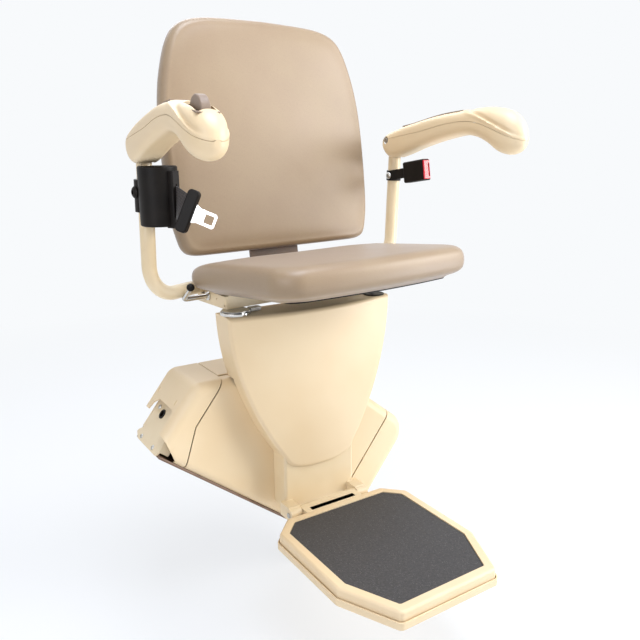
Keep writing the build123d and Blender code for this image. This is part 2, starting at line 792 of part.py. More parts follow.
def octagon_slab(grow, z0, z1, corner):
    slab = Pos(0, 0, z0) * push(mat_outline(grow), z1 - z0, (0, 0, 1))
    return fillet(slab.edges().filter_by(Axis.Z), corner)


def footrest_frame():
    """Moulded platform: rounded border, recess for the mat, ribbed underside."""
    z0, z1 = platform_floor, platform_top
    slab = octagon_slab(border, z0, z1, 10)
    slab = fillet(slab.edges().group_by(Axis.Z)[-1], 5)
    slab -= octagon_slab(0.4, mat_top - mat_sheet, z1 + 5, 5)
    pocket = octagon_slab(border - 6, z0 - 1, mat_top - mat_sheet - 3, 6)
    for x in (-mat_half / 2, 0.0, mat_half / 2):
        pocket -= block(x - rib_sheet / 2, x + rib_sheet / 2, mat_front - 20, mat_rear + 20, z0 - 2, z1)
    for share in (0.25, 0.5, 0.75):
        y = mat_rear + (mat_front - mat_rear) * share
        pocket -= block(-far, far, y - rib_sheet / 2, y + rib_sheet / 2, z0 - 2, z1)
    for x, y in pan_post_spots:
        pocket -= rod((x, y, z0 - 2), (x, y, z1), pan_post_radius + 4)
    slab -= pocket
    for x, y in pan_post_spots:
        slab -= rod((x, y, z0 - 2), (x, y, z0 + pan_post_depth), pan_post_radius + fit_gap)
    return slab


def footrest_hinge_plate():
    """Flanged arm between the ears: barrel on the hinge pin, tongue under the platform's rear."""
    x = hinge_ear_in - 1.0
    low = platform_floor - 3.2
    plate = block(-x, x, platform_rear - 24, hinge_y, low, platform_floor - 0.2)
    plate += block(-x, x, platform_rear + 0.2, hinge_y, low, platform_top - 2)
    plate += rod((-x, hinge_y, hinge_z), (x, hinge_y, hinge_z), hinge_barrel_radius)
    plate -= block(-x + 14, x - 14, platform_rear + 4, hinge_y - hinge_barrel_radius - 1,
                   platform_top - 9, platform_top + 5)
    return plate - rod((-x - 1, hinge_y, hinge_z), (x + 1, hinge_y, hinge_z), hinge_pin_radius + run_gap)


def footrest_mat():
    return octagon_slab(-0.2, mat_top - mat_sheet + 0.1, mat_top, 5)


def footrest_pan():
    """Floating safety pan under the platform, guided on four posts."""
    outer = octagon_slab(border + pan_lip, pan_floor, pan_rim_top, 12)
    outer = chamfer(outer.edges().group_by(Axis.Z)[0], 2)
    pan = outer - octagon_slab(border + pan_lip - pan_sheet, pan_floor + pan_sheet, pan_rim_top + 5, 10)
    pan -= block(-hinge_ear_in, hinge_ear_in, platform_rear - 28, mat_rear + 60, pan_floor - 1, pan_rim_top + 5)
    post_top = platform_floor + pan_post_depth - pan_travel - 1
    for x, y in pan_post_spots:
        pan += rod((x, y, pan_floor + 1), (x, y, post_top), pan_post_radius)
    return pan


def footrest_hinge_pin():
    return rod((-hinge_ear_out - 1.5, hinge_y, hinge_z), (hinge_ear_out + 1.5, hinge_y, hinge_z), hinge_pin_radius)


# ---------------------------------------------------------------- seat

def cushion_plan(grow=0.0):
    """Plan outline of the seat: bowed front, all corners rounded."""
    half, rear, side = cushion_half, cushion_rear, cushion_front + cushion_bow
    bow = ThreePointArc((-half, side), (0, cushion_front), (half, side))
    face = make_face(bow + Line((half, side), (half, rear)) + Line((half, rear), (-half, rear))
                     + Line((-half, rear), (-half, side)))
    face = fillet(face.vertices(), cushion_corner)
    return grown(face, grow)


def rake_seat(shape):
    """Tips a level cushion, drawn with its underside at z = 0, to its place on the base."""
    return Pos(0, base_front, cushion_under) * Rot(-seat_rake, 0, 0) * Pos(0, -base_front, 0) * shape


def raked_height(y):
    """Height of the cushion's underside at y."""
    return cushion_under + (base_front - y) * math.tan(math.radians(seat_rake))


def seat_board():
    """Pressed pan under the cushion, with the two fold lugs."""
    board = rake_seat(push(cushion_plan(-board_inset), board_sheet, (0, 0, 1)))
    board &= block(-far, far, -far, fold_y + fold_ear_radius, 300, 600)
    rear = fold_y + fold_ear_radius
    low = raked_height(fold_y) + 1
    for side in (-1, 1):
        x0 = side * (fold_ear_x + fold_ear_sheet / 2 + fit_gap)
        x1 = x0 + side * fold_lug_sheet
        board += side_slab([(fold_y - 32, raked_height(fold_y - 32) + 2), (rear, low), (rear, fold_z),
                            (fold_y, fold_z + 6), (fold_y - 12, fold_z + 2)], x0, x1)
        board -= rod((x0 - side, fold_y, fold_z), (x1 + side, fold_y, fold_z), fold_pin_radius + run_gap)
        inner = side * (fold_ear_x - fold_ear_sheet / 2 - fit_gap)
        board -= block(inner, x0, fold_y - 26, rear + 1, 300, fold_z + 12)
    return board


def seat_cushion():
    """Upholstered seat: crowned top, drawn-in sides, pockets for the fold ears."""
    body = push(cushion_plan(), cushion_thick + cushion_crown, (0, 0, 1))
    radius = (cushion_half ** 2 + cushion_crown ** 2) / (2 * cushion_crown)
    vault = cushion_thick + cushion_crown - radius
    body &= rod((0, -far, vault), (0, far, vault), radius)
    body = fillet(body.faces().sort_by(Axis.Z)[-1].edges(), cushion_top_edge)
    body = fillet(body.faces().sort_by(Axis.Z)[0].edges(), cushion_low_edge)
    body = rake_seat(body)
    corner = block(-far, far, fold_y, 0, 300, fold_z)
    corner -= rod((-far, fold_y, fold_z), (far, fold_y, fold_z), fold_z - base_top - 3.5)
    body -= corner
    body -= rake_seat(Pos(0, 0, -6) * push(cushion_plan(fit_gap - board_inset), board_sheet + 6.3, (0, 0, 1)))
    for side in (-1, 1):
        x0, x1 = side * (fold_ear_x - 5), side * (fold_ear_x + fold_lug_sheet + 6)
        body -= block(x0, x1, fold_y - 34, 0, 380, fold_z + fold_ear_radius + 2)
    return biggest(body)


def seat_base():
    """Pressed-steel seat base: stepped box, fold ears and saddles for the arm tube."""
    sheet, half = base_sheet, base_half
    step_z = run_z - tube_radius - 0.5

    def stepped(inset):
        front = block(-half + inset, half - inset, base_front + inset, base_step_y - inset,
                      base_floor + inset, base_top - inset)
        return front + block(-half + inset, half - inset, base_step_y - 20, base_back - inset,
                             base_floor + inset, step_z - inset)

    outer = stepped(0)
    outer = fillet(outer.edges().filter_by(Axis.Z), 6)
    y = base_front + 33
    wedge = side_slab([(base_front, base_top - 1), (base_front, raked_height(base_front) - fit_gap),
                       (y, raked_height(y) - fit_gap), (y, base_top - 1)], -half + 7, half - 7)
    swing = math.hypot(fold_ear_radius, fold_z - raked_height(fold_y + fold_ear_radius)) + fit_gap
    outer += wedge - rod((-half, fold_y, fold_z), (half, fold_y, fold_z), swing)
    box = outer - stepped(sheet)
    box -= rod((-half - 5, lever_y, lever_z), (-half + 40, lever_y, lever_z), lever_radius + run_gap)
    for y, z in ((-125.0, 429.0), (-151.0, 421.0)):
        box -= rod((-half - 5, y, z), (-half + 10, y, z), 1.8)
    for side in (-1, 1):
        x0, x1 = side * fold_ear_x - fold_ear_sheet / 2, side * fold_ear_x + fold_ear_sheet / 2
        ear = side_slab([(fold_y - 18, base_top - 2), (fold_y - fold_ear_radius, fold_z),
                         (fold_y + fold_ear_radius, fold_z), (fold_y + 16, base_top - 2)], x0, x1)
        ear += rod((x0, fold_y, fold_z), (x1, fold_y, fold_z), fold_ear_radius)
        tip = side * (fold_ear_x + fold_ear_sheet / 2 + fit_gap + fold_lug_sheet)
        box += ear + rod((side * fold_ear_x, fold_y, fold_z), (tip, fold_y, fold_z), fold_pin_radius)
    for x in (-run_half + 30, run_half - 60):
        box += block(x, x + 30, run_y - 15, run_y + 10, step_z - 1, run_z - 2)
    return box - rod((-far, run_y, run_z), (far, run_y, run_z), tube_radius)


def swivel_lever():
    """Bent handle rod: through the base's side, then up and forward to the knob."""
    path = FilletPolyline((-base_half + 24, lever_y, lever_z), (lever_end, lever_y, lever_z),
                          (lever_end, knob_y, knob_z), radius=7)
    bar = sweep(Plane(path @ 0, z_dir=path % 0) * Circle(lever_radius), path=path)
    return bar + rod((-base_half - 3, lever_y, lever_z), (-base_half - fit_gap, lever_y, lever_z), lever_radius + 3.5)


def lever_knob():
    centre = Vector(lever_end, knob_y, knob_z)
    back = Vector(0, lever_y - knob_y, lever_z - knob_z).normalized()
    return Pos(centre) * Sphere(knob_radius) - rod(tuple(centre), tuple(centre + back * 20), lever_radius)


def seat_peg():
    """Rubber stop that hangs from the seat board."""
    peg = rod((peg_x, peg_y, peg_foot), (peg_x, peg_y, raked_height(peg_y) - fit_gap), peg_radius)
    return fillet(peg.edges().filter_by(GeomType.CIRCLE).sort_by(Axis.Z)[0], 1.4)


def swivel_plate():
    """Upper swivel plate with the spigot that turns in the bush."""
    z0 = shield_top + disc_height + fit_gap
    plate = rod((swivel_x, swivel_y, z0), (swivel_x, swivel_y, base_floor), disc_radius - 3)
    foot = shield_top - swivel_depth + 6
    return plate + rod((swivel_x, swivel_y, foot), (swivel_x, swivel_y, z0 + 1), swivel_post_radius)


def swivel_latch():
    """Sliding latch block whose tooth drops into the disc's notches."""
    z0, z1 = shield_top + 1.2, base_floor - fit_gap
    rim = swivel_x + disc_radius
    body = block(rim + 1.2, rim + latch_length, swivel_y - latch_half, swivel_y + latch_half, z0, z1)
    body = fillet(body.edges().filter_by(Axis.Z), 2)
    tooth = notch_half - fit_gap
    return body + block(rim + fit_gap, rim + 3, swivel_y - tooth, swivel_y + tooth, z0, shield_top + disc_height - 0.6)


# ---------------------------------------------------------------- backrest

def lean_back(shape):
    """From the backrest's own coordinates to its leaning place."""
    return Pos(0, back_mid_y, back_low) * Rot(-back_lean, 0, 0) * shape


def back_outline(grow=0.0):
    """Outline of the backrest, a trapezoid that narrows to round shoulders."""
    foot_x, corner = back_side[0][0], back_side[1]
    low = ThreePointArc((foot_x - 15, 0.0), (foot_x + 3, 6.0), corner)
    side = Spline(back_side[1:], tangents=[(0.42, 1), (-0.5, 1)])
    shoulder = Spline(back_side[-1], (150.0, back_height - 14), (100.0, back_height - 3.5), (0.0, back_height),
                      tangents=[(-0.5, 1), (-1, 0)])
    edges = [line.edge() for line in (Line((0, 0), (foot_x - 15, 0.0)), low, side, shoulder)]
    face = Face(Wire.combine(edges + [edge.mirror(Plane.YZ) for edge in edges])[0])
    return grown(face, grow, Kind.ARC)


def backrest_cushion():
    """Upholstered back pad: full rolled edge and a crowned front."""
    half = back_thick / 2
    depth = back_thick - back_board_sheet + back_crown
    body = Pos(0, half - back_board_sheet, 0) * push(Plane.XZ * back_outline(), depth, (0, -1, 0))
    radius = (back_crown_reach ** 2 + back_crown ** 2) / (2 * back_crown)
    body &= Pos(0, radius - half - back_crown, back_height / 2) * Sphere(radius)
    body = fillet(body.faces().sort_by(Axis.Y)[0].edges(), back_front_edge)
    return lean_back(fillet(body.faces().sort_by(Axis.Y)[-1].edges(), back_rear_edge))


def backrest_board():
    """Moulded rear panel of the backrest."""
    half = back_thick / 2
    board = push(Plane.XZ * back_outline(-back_board_inset), back_board_sheet - fit_gap, (0, -1, 0))
    board = Pos(0, half, 0) * board
    return lean_back(fillet(board.faces().sort_by(Axis.Y)[-1].edges(), 3))


def back_bracket():
    """Steel strap with turned-back flanges, from the seat base up the backrest's middle."""
    y0 = back_thick / 2
    strap = block(-bracket_half, bracket_half, y0, y0 + bracket_sheet, -80, bracket_top)
    strap = fillet(strap.edges().filter_by(Axis.Y).group_by(Axis.Z)[-1], 14)
    for x in (-bracket_half, bracket_half - 4):
        strap += block(x, x + 4, y0 + 1, y0 + 16, 20, bracket_top - 60)
    strap = lean_back(strap) & block(-far, far, -far, far, base_top, far + 200)
    return strap + block(-bracket_half, bracket_half, base_step_y - 20, base_step_y - 1, base_top, base_top + 3)


# ---------------------------------------------------------------- arm frame

def post_point(z, side=1):
    """Point of a post's centre line at height z."""
    return (side * post_x, post_y - (z - run_z) * math.tan(math.radians(post_lean)), z)


def sweep_tube(radius):
    """The one-piece arm hoop, from one post top to the other."""
    points = [post_point(post_top, -1), post_point(run_z, -1), (-run_half, run_y, run_z),
              (run_half, run_y, run_z), post_point(run_z), post_point(post_top)]
    path = FilletPolyline(*points, radius=[post_bend, run_bend, run_bend, post_bend])
    return sweep(Plane(path @ 0, z_dir=path % 0) * Circle(radius), path=path)


def arm_frame():
    """Bent tube that carries both arms, with a hinge barrel on each post."""
    tube = sweep_tube(tube_radius) - sweep_tube(tube_radius - tube_wall)
    for side in (-1, 1):
        tube += rod(post_point(post_top - 18, side), post_point(post_top, side), tube_radius - tube_wall + 0.01)
        tube += place_arm(rod((-barrel_half, pivot_y, pivot_z), (barrel_half, pivot_y, pivot_z), barrel_radius), side)
        tube -= place_arm(rod((-40, pivot_y, pivot_z), (40, pivot_y, pivot_z), pivot_radius), side)
    return tube


# ---------------------------------------------------------------- arms

def arm_profile(grow=0.0):
    face = make_face(Spline(*(arm_top + arm_low), periodic=True))
    return Plane.YZ * grown(face, grow)


def place_arm(shape, side):
    """From the arm's own square coordinates to its splayed place on a post."""
    return Pos(side * post_x, pivot_y, 0) * Rot(0, 0, side * arm_splay) * Pos(0, -pivot_y, 0) * shape


def arm_solid(inset=0.0):
    """The arm's outer form, long edges rounded, or its hollow when inset by the wall."""
    half = arm_half - inset
    body = extrude(arm_profile(-inset), half, both=True)
    rim = [edge for edge in body.edges() if abs(abs(edge.center().X) - half) < 1]
    return fillet(rim, arm_edge - inset)


def seam_side(upper, gap):
    """Space above or below the S-shaped joint between the arm's mouldings."""
    shift = gap / 2 if upper else -gap / 2
    curve = Spline(*[(y, z + shift) for y, z in arm_seam])
    (y0, z0), (y1, z1) = arm_seam[0], arm_seam[-1]
    end = 900 if upper else 500
    edges = curve + Line((y1, z1 + shift), (y1, end)) + Line((y1, end), (y0, end)) + Line((y0, end), (y0, z0 + shift))
    return extrude(Plane.YZ * make_face(edges), arm_half + 30, both=True)


def arm_shell():
    """Hollow arm with its pivot bosses and the slot that clears the post."""
    shell = arm_solid() - arm_solid(arm_wall)
    slot = barrel_half + fit_gap
    boss_end = arm_half - arm_wall + 0.5
    for side in (-1, 1):
        shell += rod((side * slot, pivot_y, pivot_z), (side * boss_end, pivot_y, pivot_z), pivot_radius + 3.5)
    shell -= block(-slot, slot, pivot_y - 26, 0, 600, pivot_z + barrel_radius + 1)
    pin_end = arm_half - arm_wall / 2
    return shell - rod((-pin_end, pivot_y, pivot_z), (pin_end, pivot_y, pivot_z), pivot_radius + run_gap)


def arm_pivot_pins():
    group = []
    for side in (-1, 1):
        end = arm_half - arm_wall / 2 - fit_gap
        group.append(place_arm(rod((-end, pivot_y, pivot_z), (end, pivot_y, pivot_z), pivot_radius), side))
    return Compound(group)


def arm_pad():
    """Soft strip let into the arm's top."""
    band = extrude(arm_profile(pad_stand), pad_half, both=True) - extrude(arm_profile(-pad_depth), arm_half, both=True)
    return band & block(-pad_half, pad_half, pad_front, pad_rear, pivot_z + 10, 800)


def toggle_bezel():
    """Frame round the toggle, with the two lugs that hold its pivot."""
    seat = extrude(arm_profile(bezel_stand), bezel_half_x, both=True)
    seat -= extrude(arm_profile(run_gap), bezel_half_x + 1, both=True)
    x, y = toggle_x, toggle_y
    ring = Pos(x, 0, 0) * seat & block(x - bezel_half_x, x + bezel_half_x, y - bezel_half_y, y + bezel_half_y, 735, 800)
    ring -= block(x - bezel_hole_x, x + bezel_hole_x, y - bezel_hole_y, y + bezel_hole_y, 700, 800)
    top = max(z for _, z in arm_top) + bezel_stand
    for side in (-1, 1):
        y0, y1 = y + side * bezel_hole_y, y + side * (bezel_hole_y + bezel_lug)
        ring += block(x - 7, x + 7, y0, y1, toggle_pivot_z - 7, top)
    return ring - rod((x, y - 40, toggle_pivot_z), (x, y + 40, toggle_pivot_z), toggle_pivot_radius + run_gap)


def control_toggle():
    """Upright paddle that rocks about an axis along the arm."""
    disc = Pos(toggle_x, toggle_y, toggle_z) * Rot(0, 90, 0) * Cylinder(toggle_radius, toggle_thick)
    disc &= block(-far, far, toggle_y - 30, toggle_y + 30, toggle_pivot_z - 5, 800)
    disc = fillet(disc.edges().filter_by(GeomType.CIRCLE), toggle_edge)
    reach = bezel_hole_y + bezel_lug - fit_gap
    return disc + rod((toggle_x, toggle_y - reach, toggle_pivot_z), (toggle_x, toggle_y + reach, toggle_pivot_z),
                      toggle_pivot_radius)


# ---------------------------------------------------------------- belt

def retractor_place(shape):
    """From the retractor's own coordinates, x towards the webbing's exit, to its place by the post."""
    y = post_point(retractor_z + retractor_height / 2)[1] + retractor_dy
    return Pos(belt_x, y, 0) * Rot(0, 0, belt_turn) * shape


def clamp_spot():
    """Point of the left post's centre line behind the clamp bolt."""
    return post_point(retractor_z + retractor_height / 2 + 6, -1)


def retractor_case():
    """Moulded retractor drum with its clamp on the left post and a webbing guide."""
    z0, z1 = retractor_z, retractor_z + retractor_height
    drum = rod((0, 0, z0), (0, 0, z1), retractor_radius)
    drum = retractor_place(fillet(drum.edges().filter_by(GeomType.CIRCLE), 3.5))
    drum += rod(post_point(z0 + 22, -1), post_point(z1 - 22, -1), tube_radius + clamp_wall)
    guide = block(retractor_radius - 10, guide_end, -guide_half, guide_half, z0 - 2, z1 - 8)
    drum += retractor_place(fillet(guide.edges().filter_by(Axis.Z), 2.5))
    thick, tall = webbing_thick / 2 + fit_gap, webbing_width / 2 + 2
    drum -= retractor_place(block(retractor_radius - 6, guide_end + 5, -thick, thick, belt_slot_z - tall, belt_slot_z + tall))
    drum -= rod(post_point(z0 - 20, -1), post_point(z1 + 20, -1), tube_radius)
    x, y, z = clamp_spot()
    drum -= rod((x - 30, y, z), (x, y, z), clamp_bolt)
    return biggest(drum)


def retractor_bolt():
    """Domed clamp bolt on the outer side of the left post."""
    x, y, z = clamp_spot()
    return dome_screw((x - tube_radius - clamp_wall, y, z), (1, 0, 0), 10.0, clamp_bolt, clamp_wall - 0.2)


def grip_plane():
    """Plane of the belt tongue: x along the way out, y along the grip bar."""
    return Plane(grip_centre, x_dir=grip_out, z_dir=grip_out.cross(grip_long))


def webbing_planes():
    """Cross-section planes of the webbing, x across its width and z along its run."""
    slot = [Plane(retractor_place(Plane((x, 0, belt_slot_z), x_dir=(0, 0, 1), z_dir=(1, 0, 0)).location))
            for x in (retractor_radius - 4, guide_end + 2)]
    bar = [Plane(grip_centre + grip_out * step, x_dir=grip_long * -1, z_dir=grip_out)
           for step in (-grip_depth / 2 - 2, -2.0)]
    start, end = slot[1], bar[0]
    reach = (end.origin - start.origin).length
    bend = []
    for step in range(1, webbing_steps):
        t = step / webbing_steps
        ease = t * t * (3 - 2 * t)
        origin = start.origin * (1 - ease) + end.origin * ease
        origin += start.z_dir * (reach * t * (1 - t) ** 2) - end.z_dir * (reach * t * t * (1 - t))
        across = start.x_dir * (1 - ease) + end.x_dir * ease
        along = start.z_dir * (1 - ease) + end.z_dir * ease
        bend.append(Plane(origin, x_dir=across, z_dir=along))
    return slot + bend + bar


def belt_webbing():
    """Short run of webbing from the retractor's slot to the tongue, in flat facets."""
    half_w, half_t = webbing_width / 2, webbing_thick / 2
    corners = [(-half_w, -half_t), (half_w, -half_t), (half_w, half_t), (-half_w, half_t)]
    rings = [[plane.from_local_coords((x, y, 0)) for x, y in corners] for plane in webbing_planes()]
    faces = []
    for ring in (rings[0][::-1], rings[-1]):
        faces.append([ring[0], ring[1], ring[2]])
        faces.append([ring[0], ring[2], ring[3]])
    for near, ahead in zip(rings, rings[1:]):
        for one, two in ((0, 1), (1, 2), (2, 3), (3, 0)):
            faces.append([near[one], near[two], ahead[two]])
            faces.append([near[one], ahead[two], ahead[one]])
    return Solid(Shell([Face(Wire.make_polygon(points, close=True)) for points in faces]))


def tongue_grip():
    """Moulded grip bar over the tongue's root, slotted for the webbing."""
    bar = Box(grip_depth, grip_length, grip_thick)
    bar = fillet(bar.edges().filter_by(Axis.Z), 7)
    bar = fillet(bar.faces().sort_by(Axis.Z)[-1].edges() + bar.faces().sort_by(Axis.Z)[0].edges(), 2.5)
    bar -= Pos(-grip_depth / 2, 0, 0) * Box(grip_depth - 3.4, webbing_width + 2, webbing_thick + 2 * fit_gap)
    bar -= Pos(grip_depth / 2, 0, 0) * Box(12, 2 * tongue_root_half, tongue_sheet)
    return grip_plane() * bar


def tongue_plate():
    """Steel tongue: flared root, parallel blade and the latch hole."""
    half, wide = tongue_half, tongue_root_half
    root, end = grip_depth / 2 - 6, grip_depth / 2 + tongue_length
    side = [(root, wide), (root + 8, wide), (root + 16, half), (end - 3, half), (end, half - 3)]
    outline = Polyline(*[(x, -y) for x, y in side], *reversed(side), close=True)
    blade = extrude(make_face(outline), tongue_sheet / 2, both=True)
    return grip_plane() * (blade - Pos(end - 12, 0, 0) * Box(*tongue_hole, 10))


def buckle_place(shape):
    """From the buckle's own square coordinates (origin on the right post) to its pitched place."""
    return Pos(*post_point(buckle_z)) * Rot(-buckle_pitch, 0, 0) * shape


def buckle_tab(grow=0.0):
    """Flat of the band that reaches forward into the buckle."""
    skin = tube_radius + strap_sheet
    return block(-skin, -tube_radius, buckle_rear - 14 - grow, 0, -strap_height / 2, strap_height / 2)


def buckle_strap():
    """Band round the right post, with the tab that carries the buckle."""
    half = strap_height / 2
    band = rod(post_point(buckle_z - half), post_point(buckle_z + half), tube_radius + strap_sheet)
    band += buckle_place(buckle_tab())
    x, y, z = post_point(buckle_z)
    band -= rod((x - tube_radius - 10, y, z), (x, y, z), strap_screw)
    return band - rod(post_point(buckle_z - 40), post_point(buckle_z + 40), tube_radius)


def buckle_body():
    """Moulded buckle case, open at its front end."""
    x, half, wall = buckle_offset, buckle_thick / 2, buckle_wall
    tall = buckle_width / 2
    body = block(x - half, x + half, buckle_front, buckle_rear, -tall, tall)
    body = fillet(body.edges().filter_by(Axis.Y), 4)
    body = fillet(body.faces().sort_by(Axis.Y)[-1].edges(), 3)
    pocket = buckle_front + button_length + button_travel
    body -= block(x - half + wall, x + half - wall, buckle_front - 1, pocket, -tall + wall, tall - wall)
    return buckle_place(body - buckle_tab())


def buckle_button():
    """Press button in the buckle's end, with the mouth for the tongue beside it."""
    x, half, tall = buckle_offset, buckle_thick / 2 - buckle_wall - fit_gap, buckle_width / 2 - buckle_wall - fit_gap
    front = buckle_front - button_travel
    button = block(x - half, x + half, front, front + button_length, -tall, tall)
    button = fillet(button.faces().sort_by(Axis.Y)[0].edges(), 1.6)
    edge = x + half - 1.6
    button -= block(edge - mouth_width, edge, front - 1, front + button_length + 1, -mouth_height / 2, mouth_height / 2)
    return buckle_place(button)


def buckle_screw():
    x, y, z = post_point(buckle_z)
    return dome_screw((x - tube_radius - strap_sheet, y, z), (1, 0, 0), 7.0, strap_screw, strap_sheet - 0.1)


# ---------------------------------------------------------------- assembly

def fixed_pieces():
    """Carriage and pedestal pieces, in the part's own frame."""
    shaped = {
        "chassis": chassis(), "end_plates": Compound([end_plate(-1), end_plate(1)]),
        "hand_wind_socket": hand_wind_socket(), "housing_screws": housing_screws(),
        "end_cover_upper": end_cover(-1), "end_cover_lower": end_cover(1), "gearbox": gearbox(),
        "motor": motor(), "batteries": batteries(), "control_board": control_board(),
        "charge_contacts": charge_contacts(), "drive_pinion": drive_pinion(),
    }
    for end, u in (("upper", -1), ("lower", 1)):
        for level, v in (("top", 1), ("bottom", -1)):
            place = Pos(carriage_mid + u * roller_span / 2, 0, v * roller_v)
            shaped[f"roller_{end}_{level}"] = place * rail_roller()
    pieces = {name: along_rail(shape) for name, shape in shaped.items()}
    pieces.update({
        "front_cover": front_cover(), "top_cover": top_cover(), "shield_cover": shield_cover(),
        "pedestal_frame": pedestal_frame(), "pedestal_back_cover": pedestal_back_cover(),
        "column": column(), "footrest_hinge_pin": footrest_hinge_pin(), "swivel_disc": swivel_disc(),
        "swivel_bush": swivel_bush(), "blanking_disc": blanking_disc(), "footrest_frame": footrest_frame(),
        "footrest_hinge_plate": footrest_hinge_plate(), "footrest_mat": footrest_mat(),
        "footrest_pan": footrest_pan(),
    })
    return pieces


def arm_pieces():
    """Both arms and the control toggle, in the seat's coordinates."""
    shell, pad = arm_shell(), arm_pad()
    upper = (shell & seam_side(True, arm_joint)) - pad
    lower = biggest(shell & seam_side(False, arm_joint))
    x, y = toggle_x, toggle_y
    room_x, room_y = bezel_hole_x + 0.4, bezel_hole_y + bezel_lug + fit_gap
    opening = block(x - room_x, x + room_x, y - room_y, y + room_y, toggle_pivot_z - 10, 800)
    pieces = {"toggle_bezel": place_arm(toggle_bezel(), -1), "control_toggle": place_arm(control_toggle(), -1)}
    for side, name, top in ((-1, "arm_left", biggest(upper - opening)), (1, "arm_right", biggest(upper))):
        pieces[name + "_upper"] = place_arm(top, side)
        pieces[name + "_lower"] = place_arm(lower, side)
        pieces[name + "_pad"] = place_arm(pad, side)
    return pieces


def seat_pieces():
    """Everything that turns with the seat, in the part's own frame."""
    makers = [seat_base, swivel_plate, swivel_latch, swivel_lever, lever_knob, seat_board, seat_cushion,
              seat_peg, back_bracket, backrest_board, backrest_cushion, arm_frame, arm_pivot_pins,
              retractor_case, retractor_bolt, belt_webbing, tongue_grip, tongue_plate, buckle_strap,
              buckle_body, buckle_button, buckle_screw]
    pieces = {maker.__name__: maker() for maker in makers}
    pieces.update(arm_pieces())
    return {name: on_seat(shape) for name, shape in pieces.items()}


if __name__ == "__main__":
    os.makedirs("parts", exist_ok=True)
    for name, shape in {**fixed_pieces(), **seat_pieces()}.items():
        shape.label = name
        export_step(shape, f"parts/{name}.step")
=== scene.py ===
import json
import math

import bmesh
import bpy
from mathutils import Matrix, Vector


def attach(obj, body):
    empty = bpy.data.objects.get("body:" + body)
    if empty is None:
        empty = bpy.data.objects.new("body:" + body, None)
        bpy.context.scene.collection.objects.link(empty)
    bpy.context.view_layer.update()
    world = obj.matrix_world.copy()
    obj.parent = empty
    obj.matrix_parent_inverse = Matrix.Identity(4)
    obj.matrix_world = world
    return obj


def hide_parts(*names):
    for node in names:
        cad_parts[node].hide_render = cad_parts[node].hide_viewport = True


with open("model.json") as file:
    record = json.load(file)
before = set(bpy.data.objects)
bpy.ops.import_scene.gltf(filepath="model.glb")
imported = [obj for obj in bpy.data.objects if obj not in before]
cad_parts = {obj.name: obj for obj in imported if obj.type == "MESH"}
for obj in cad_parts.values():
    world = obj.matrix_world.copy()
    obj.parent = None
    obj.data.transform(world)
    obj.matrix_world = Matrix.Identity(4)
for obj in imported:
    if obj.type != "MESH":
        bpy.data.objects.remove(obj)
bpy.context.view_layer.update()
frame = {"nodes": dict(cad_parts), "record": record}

# stairlift chair, seat a few degrees into its swivel; all sizes here are millimetres
mm = 0.001
bodies = frame["record"]["behaviour"]["bodies"]
bodyOf = {node: body for body, nodes in bodies.items() for node in nodes}
slotOf = {part["node"]: part["material_slot"] for part in frame["record"]["subparts"]}

# the seat turns about this post
seatTurn = {"x": -150.0, "y": -166.0, "degrees": 5.0}

centre = Vector((seatTurn["x"], seatTurn["y"], 0))
onSeat = (Matrix.Translation(centre) @ Matrix.Rotation(math.radians(seatTurn["degrees"]), 4, "Z")
          @ Matrix.Translation(-centre))


# ---- colour and shader helpers

def linearColour(hexText):
    values = [int(hexText[i:i + 2], 16) / 255 for i in (1, 3, 5)]
    return [v / 12.92 if v <= 0.04045 else ((v + 0.055) / 1.055) ** 2.4 for v in values] + [1.0]


def perMetre(size):
    # pattern scale for features of this many millimetres, in object coordinates
    return 1.0 / (size * mm)


def addNode(tree, kind, values=None, links=None, **settings):
    node = tree.nodes.new(kind)
    for name, value in settings.items():
        setattr(node, name, value)
    for socket, value in (values or {}).items():
        node.inputs[socket].default_value = value
    for socket, source in (links or {}).items():
        tree.links.new(source, node.inputs[socket])
    return node


def newSurface(name, **shaderValues):
    # a material with its shader, and the coordinates its patterns follow
    material = bpy.data.materials.new(name)
    material.use_nodes = True
    tree = material.node_tree
    tree.nodes.clear()
    shader = addNode(tree, "ShaderNodeBsdfPrincipled", shaderValues)
    addNode(tree, "ShaderNodeOutputMaterial", links={"Surface": shader.outputs[0]})
    place = addNode(tree, "ShaderNodeTexCoord").outputs["Object"]
    return material, tree, shader, place


def tint(tree, shader, factor, low, high, start=0.35, end=0.65):
    # colour between two hexes, by a pattern
    ramp = addNode(tree, "ShaderNodeValToRGB", links={"Fac": factor})
    for stop, position, colour in zip(ramp.color_ramp.elements, (start, end), (low, high)):
        stop.position = position
        stop.color = linearColour(colour)
    if shader:
        tree.links.new(ramp.outputs["Color"], shader.inputs["Base Color"])
    return ramp.outputs["Color"]


def spread(tree, shader, factor, low, high):
    # roughness that wanders between two values
    band = addNode(tree, "ShaderNodeMapRange", {"To Min": low, "To Max": high}, {"Value": factor})
    tree.links.new(band.outputs["Result"], shader.inputs["Roughness"])


def relief(tree, shader, height, depth, strength, base=None):
    # bump whose full height is this many millimetres
    links = {"Height": height}
    if base:
        links["Normal"] = base
    bump = addNode(tree, "ShaderNodeBump", {"Strength": strength, "Distance": depth * mm}, links)
    tree.links.new(bump.outputs["Normal"], shader.inputs["Normal"])
    return bump.outputs["Normal"]


# ---- materials

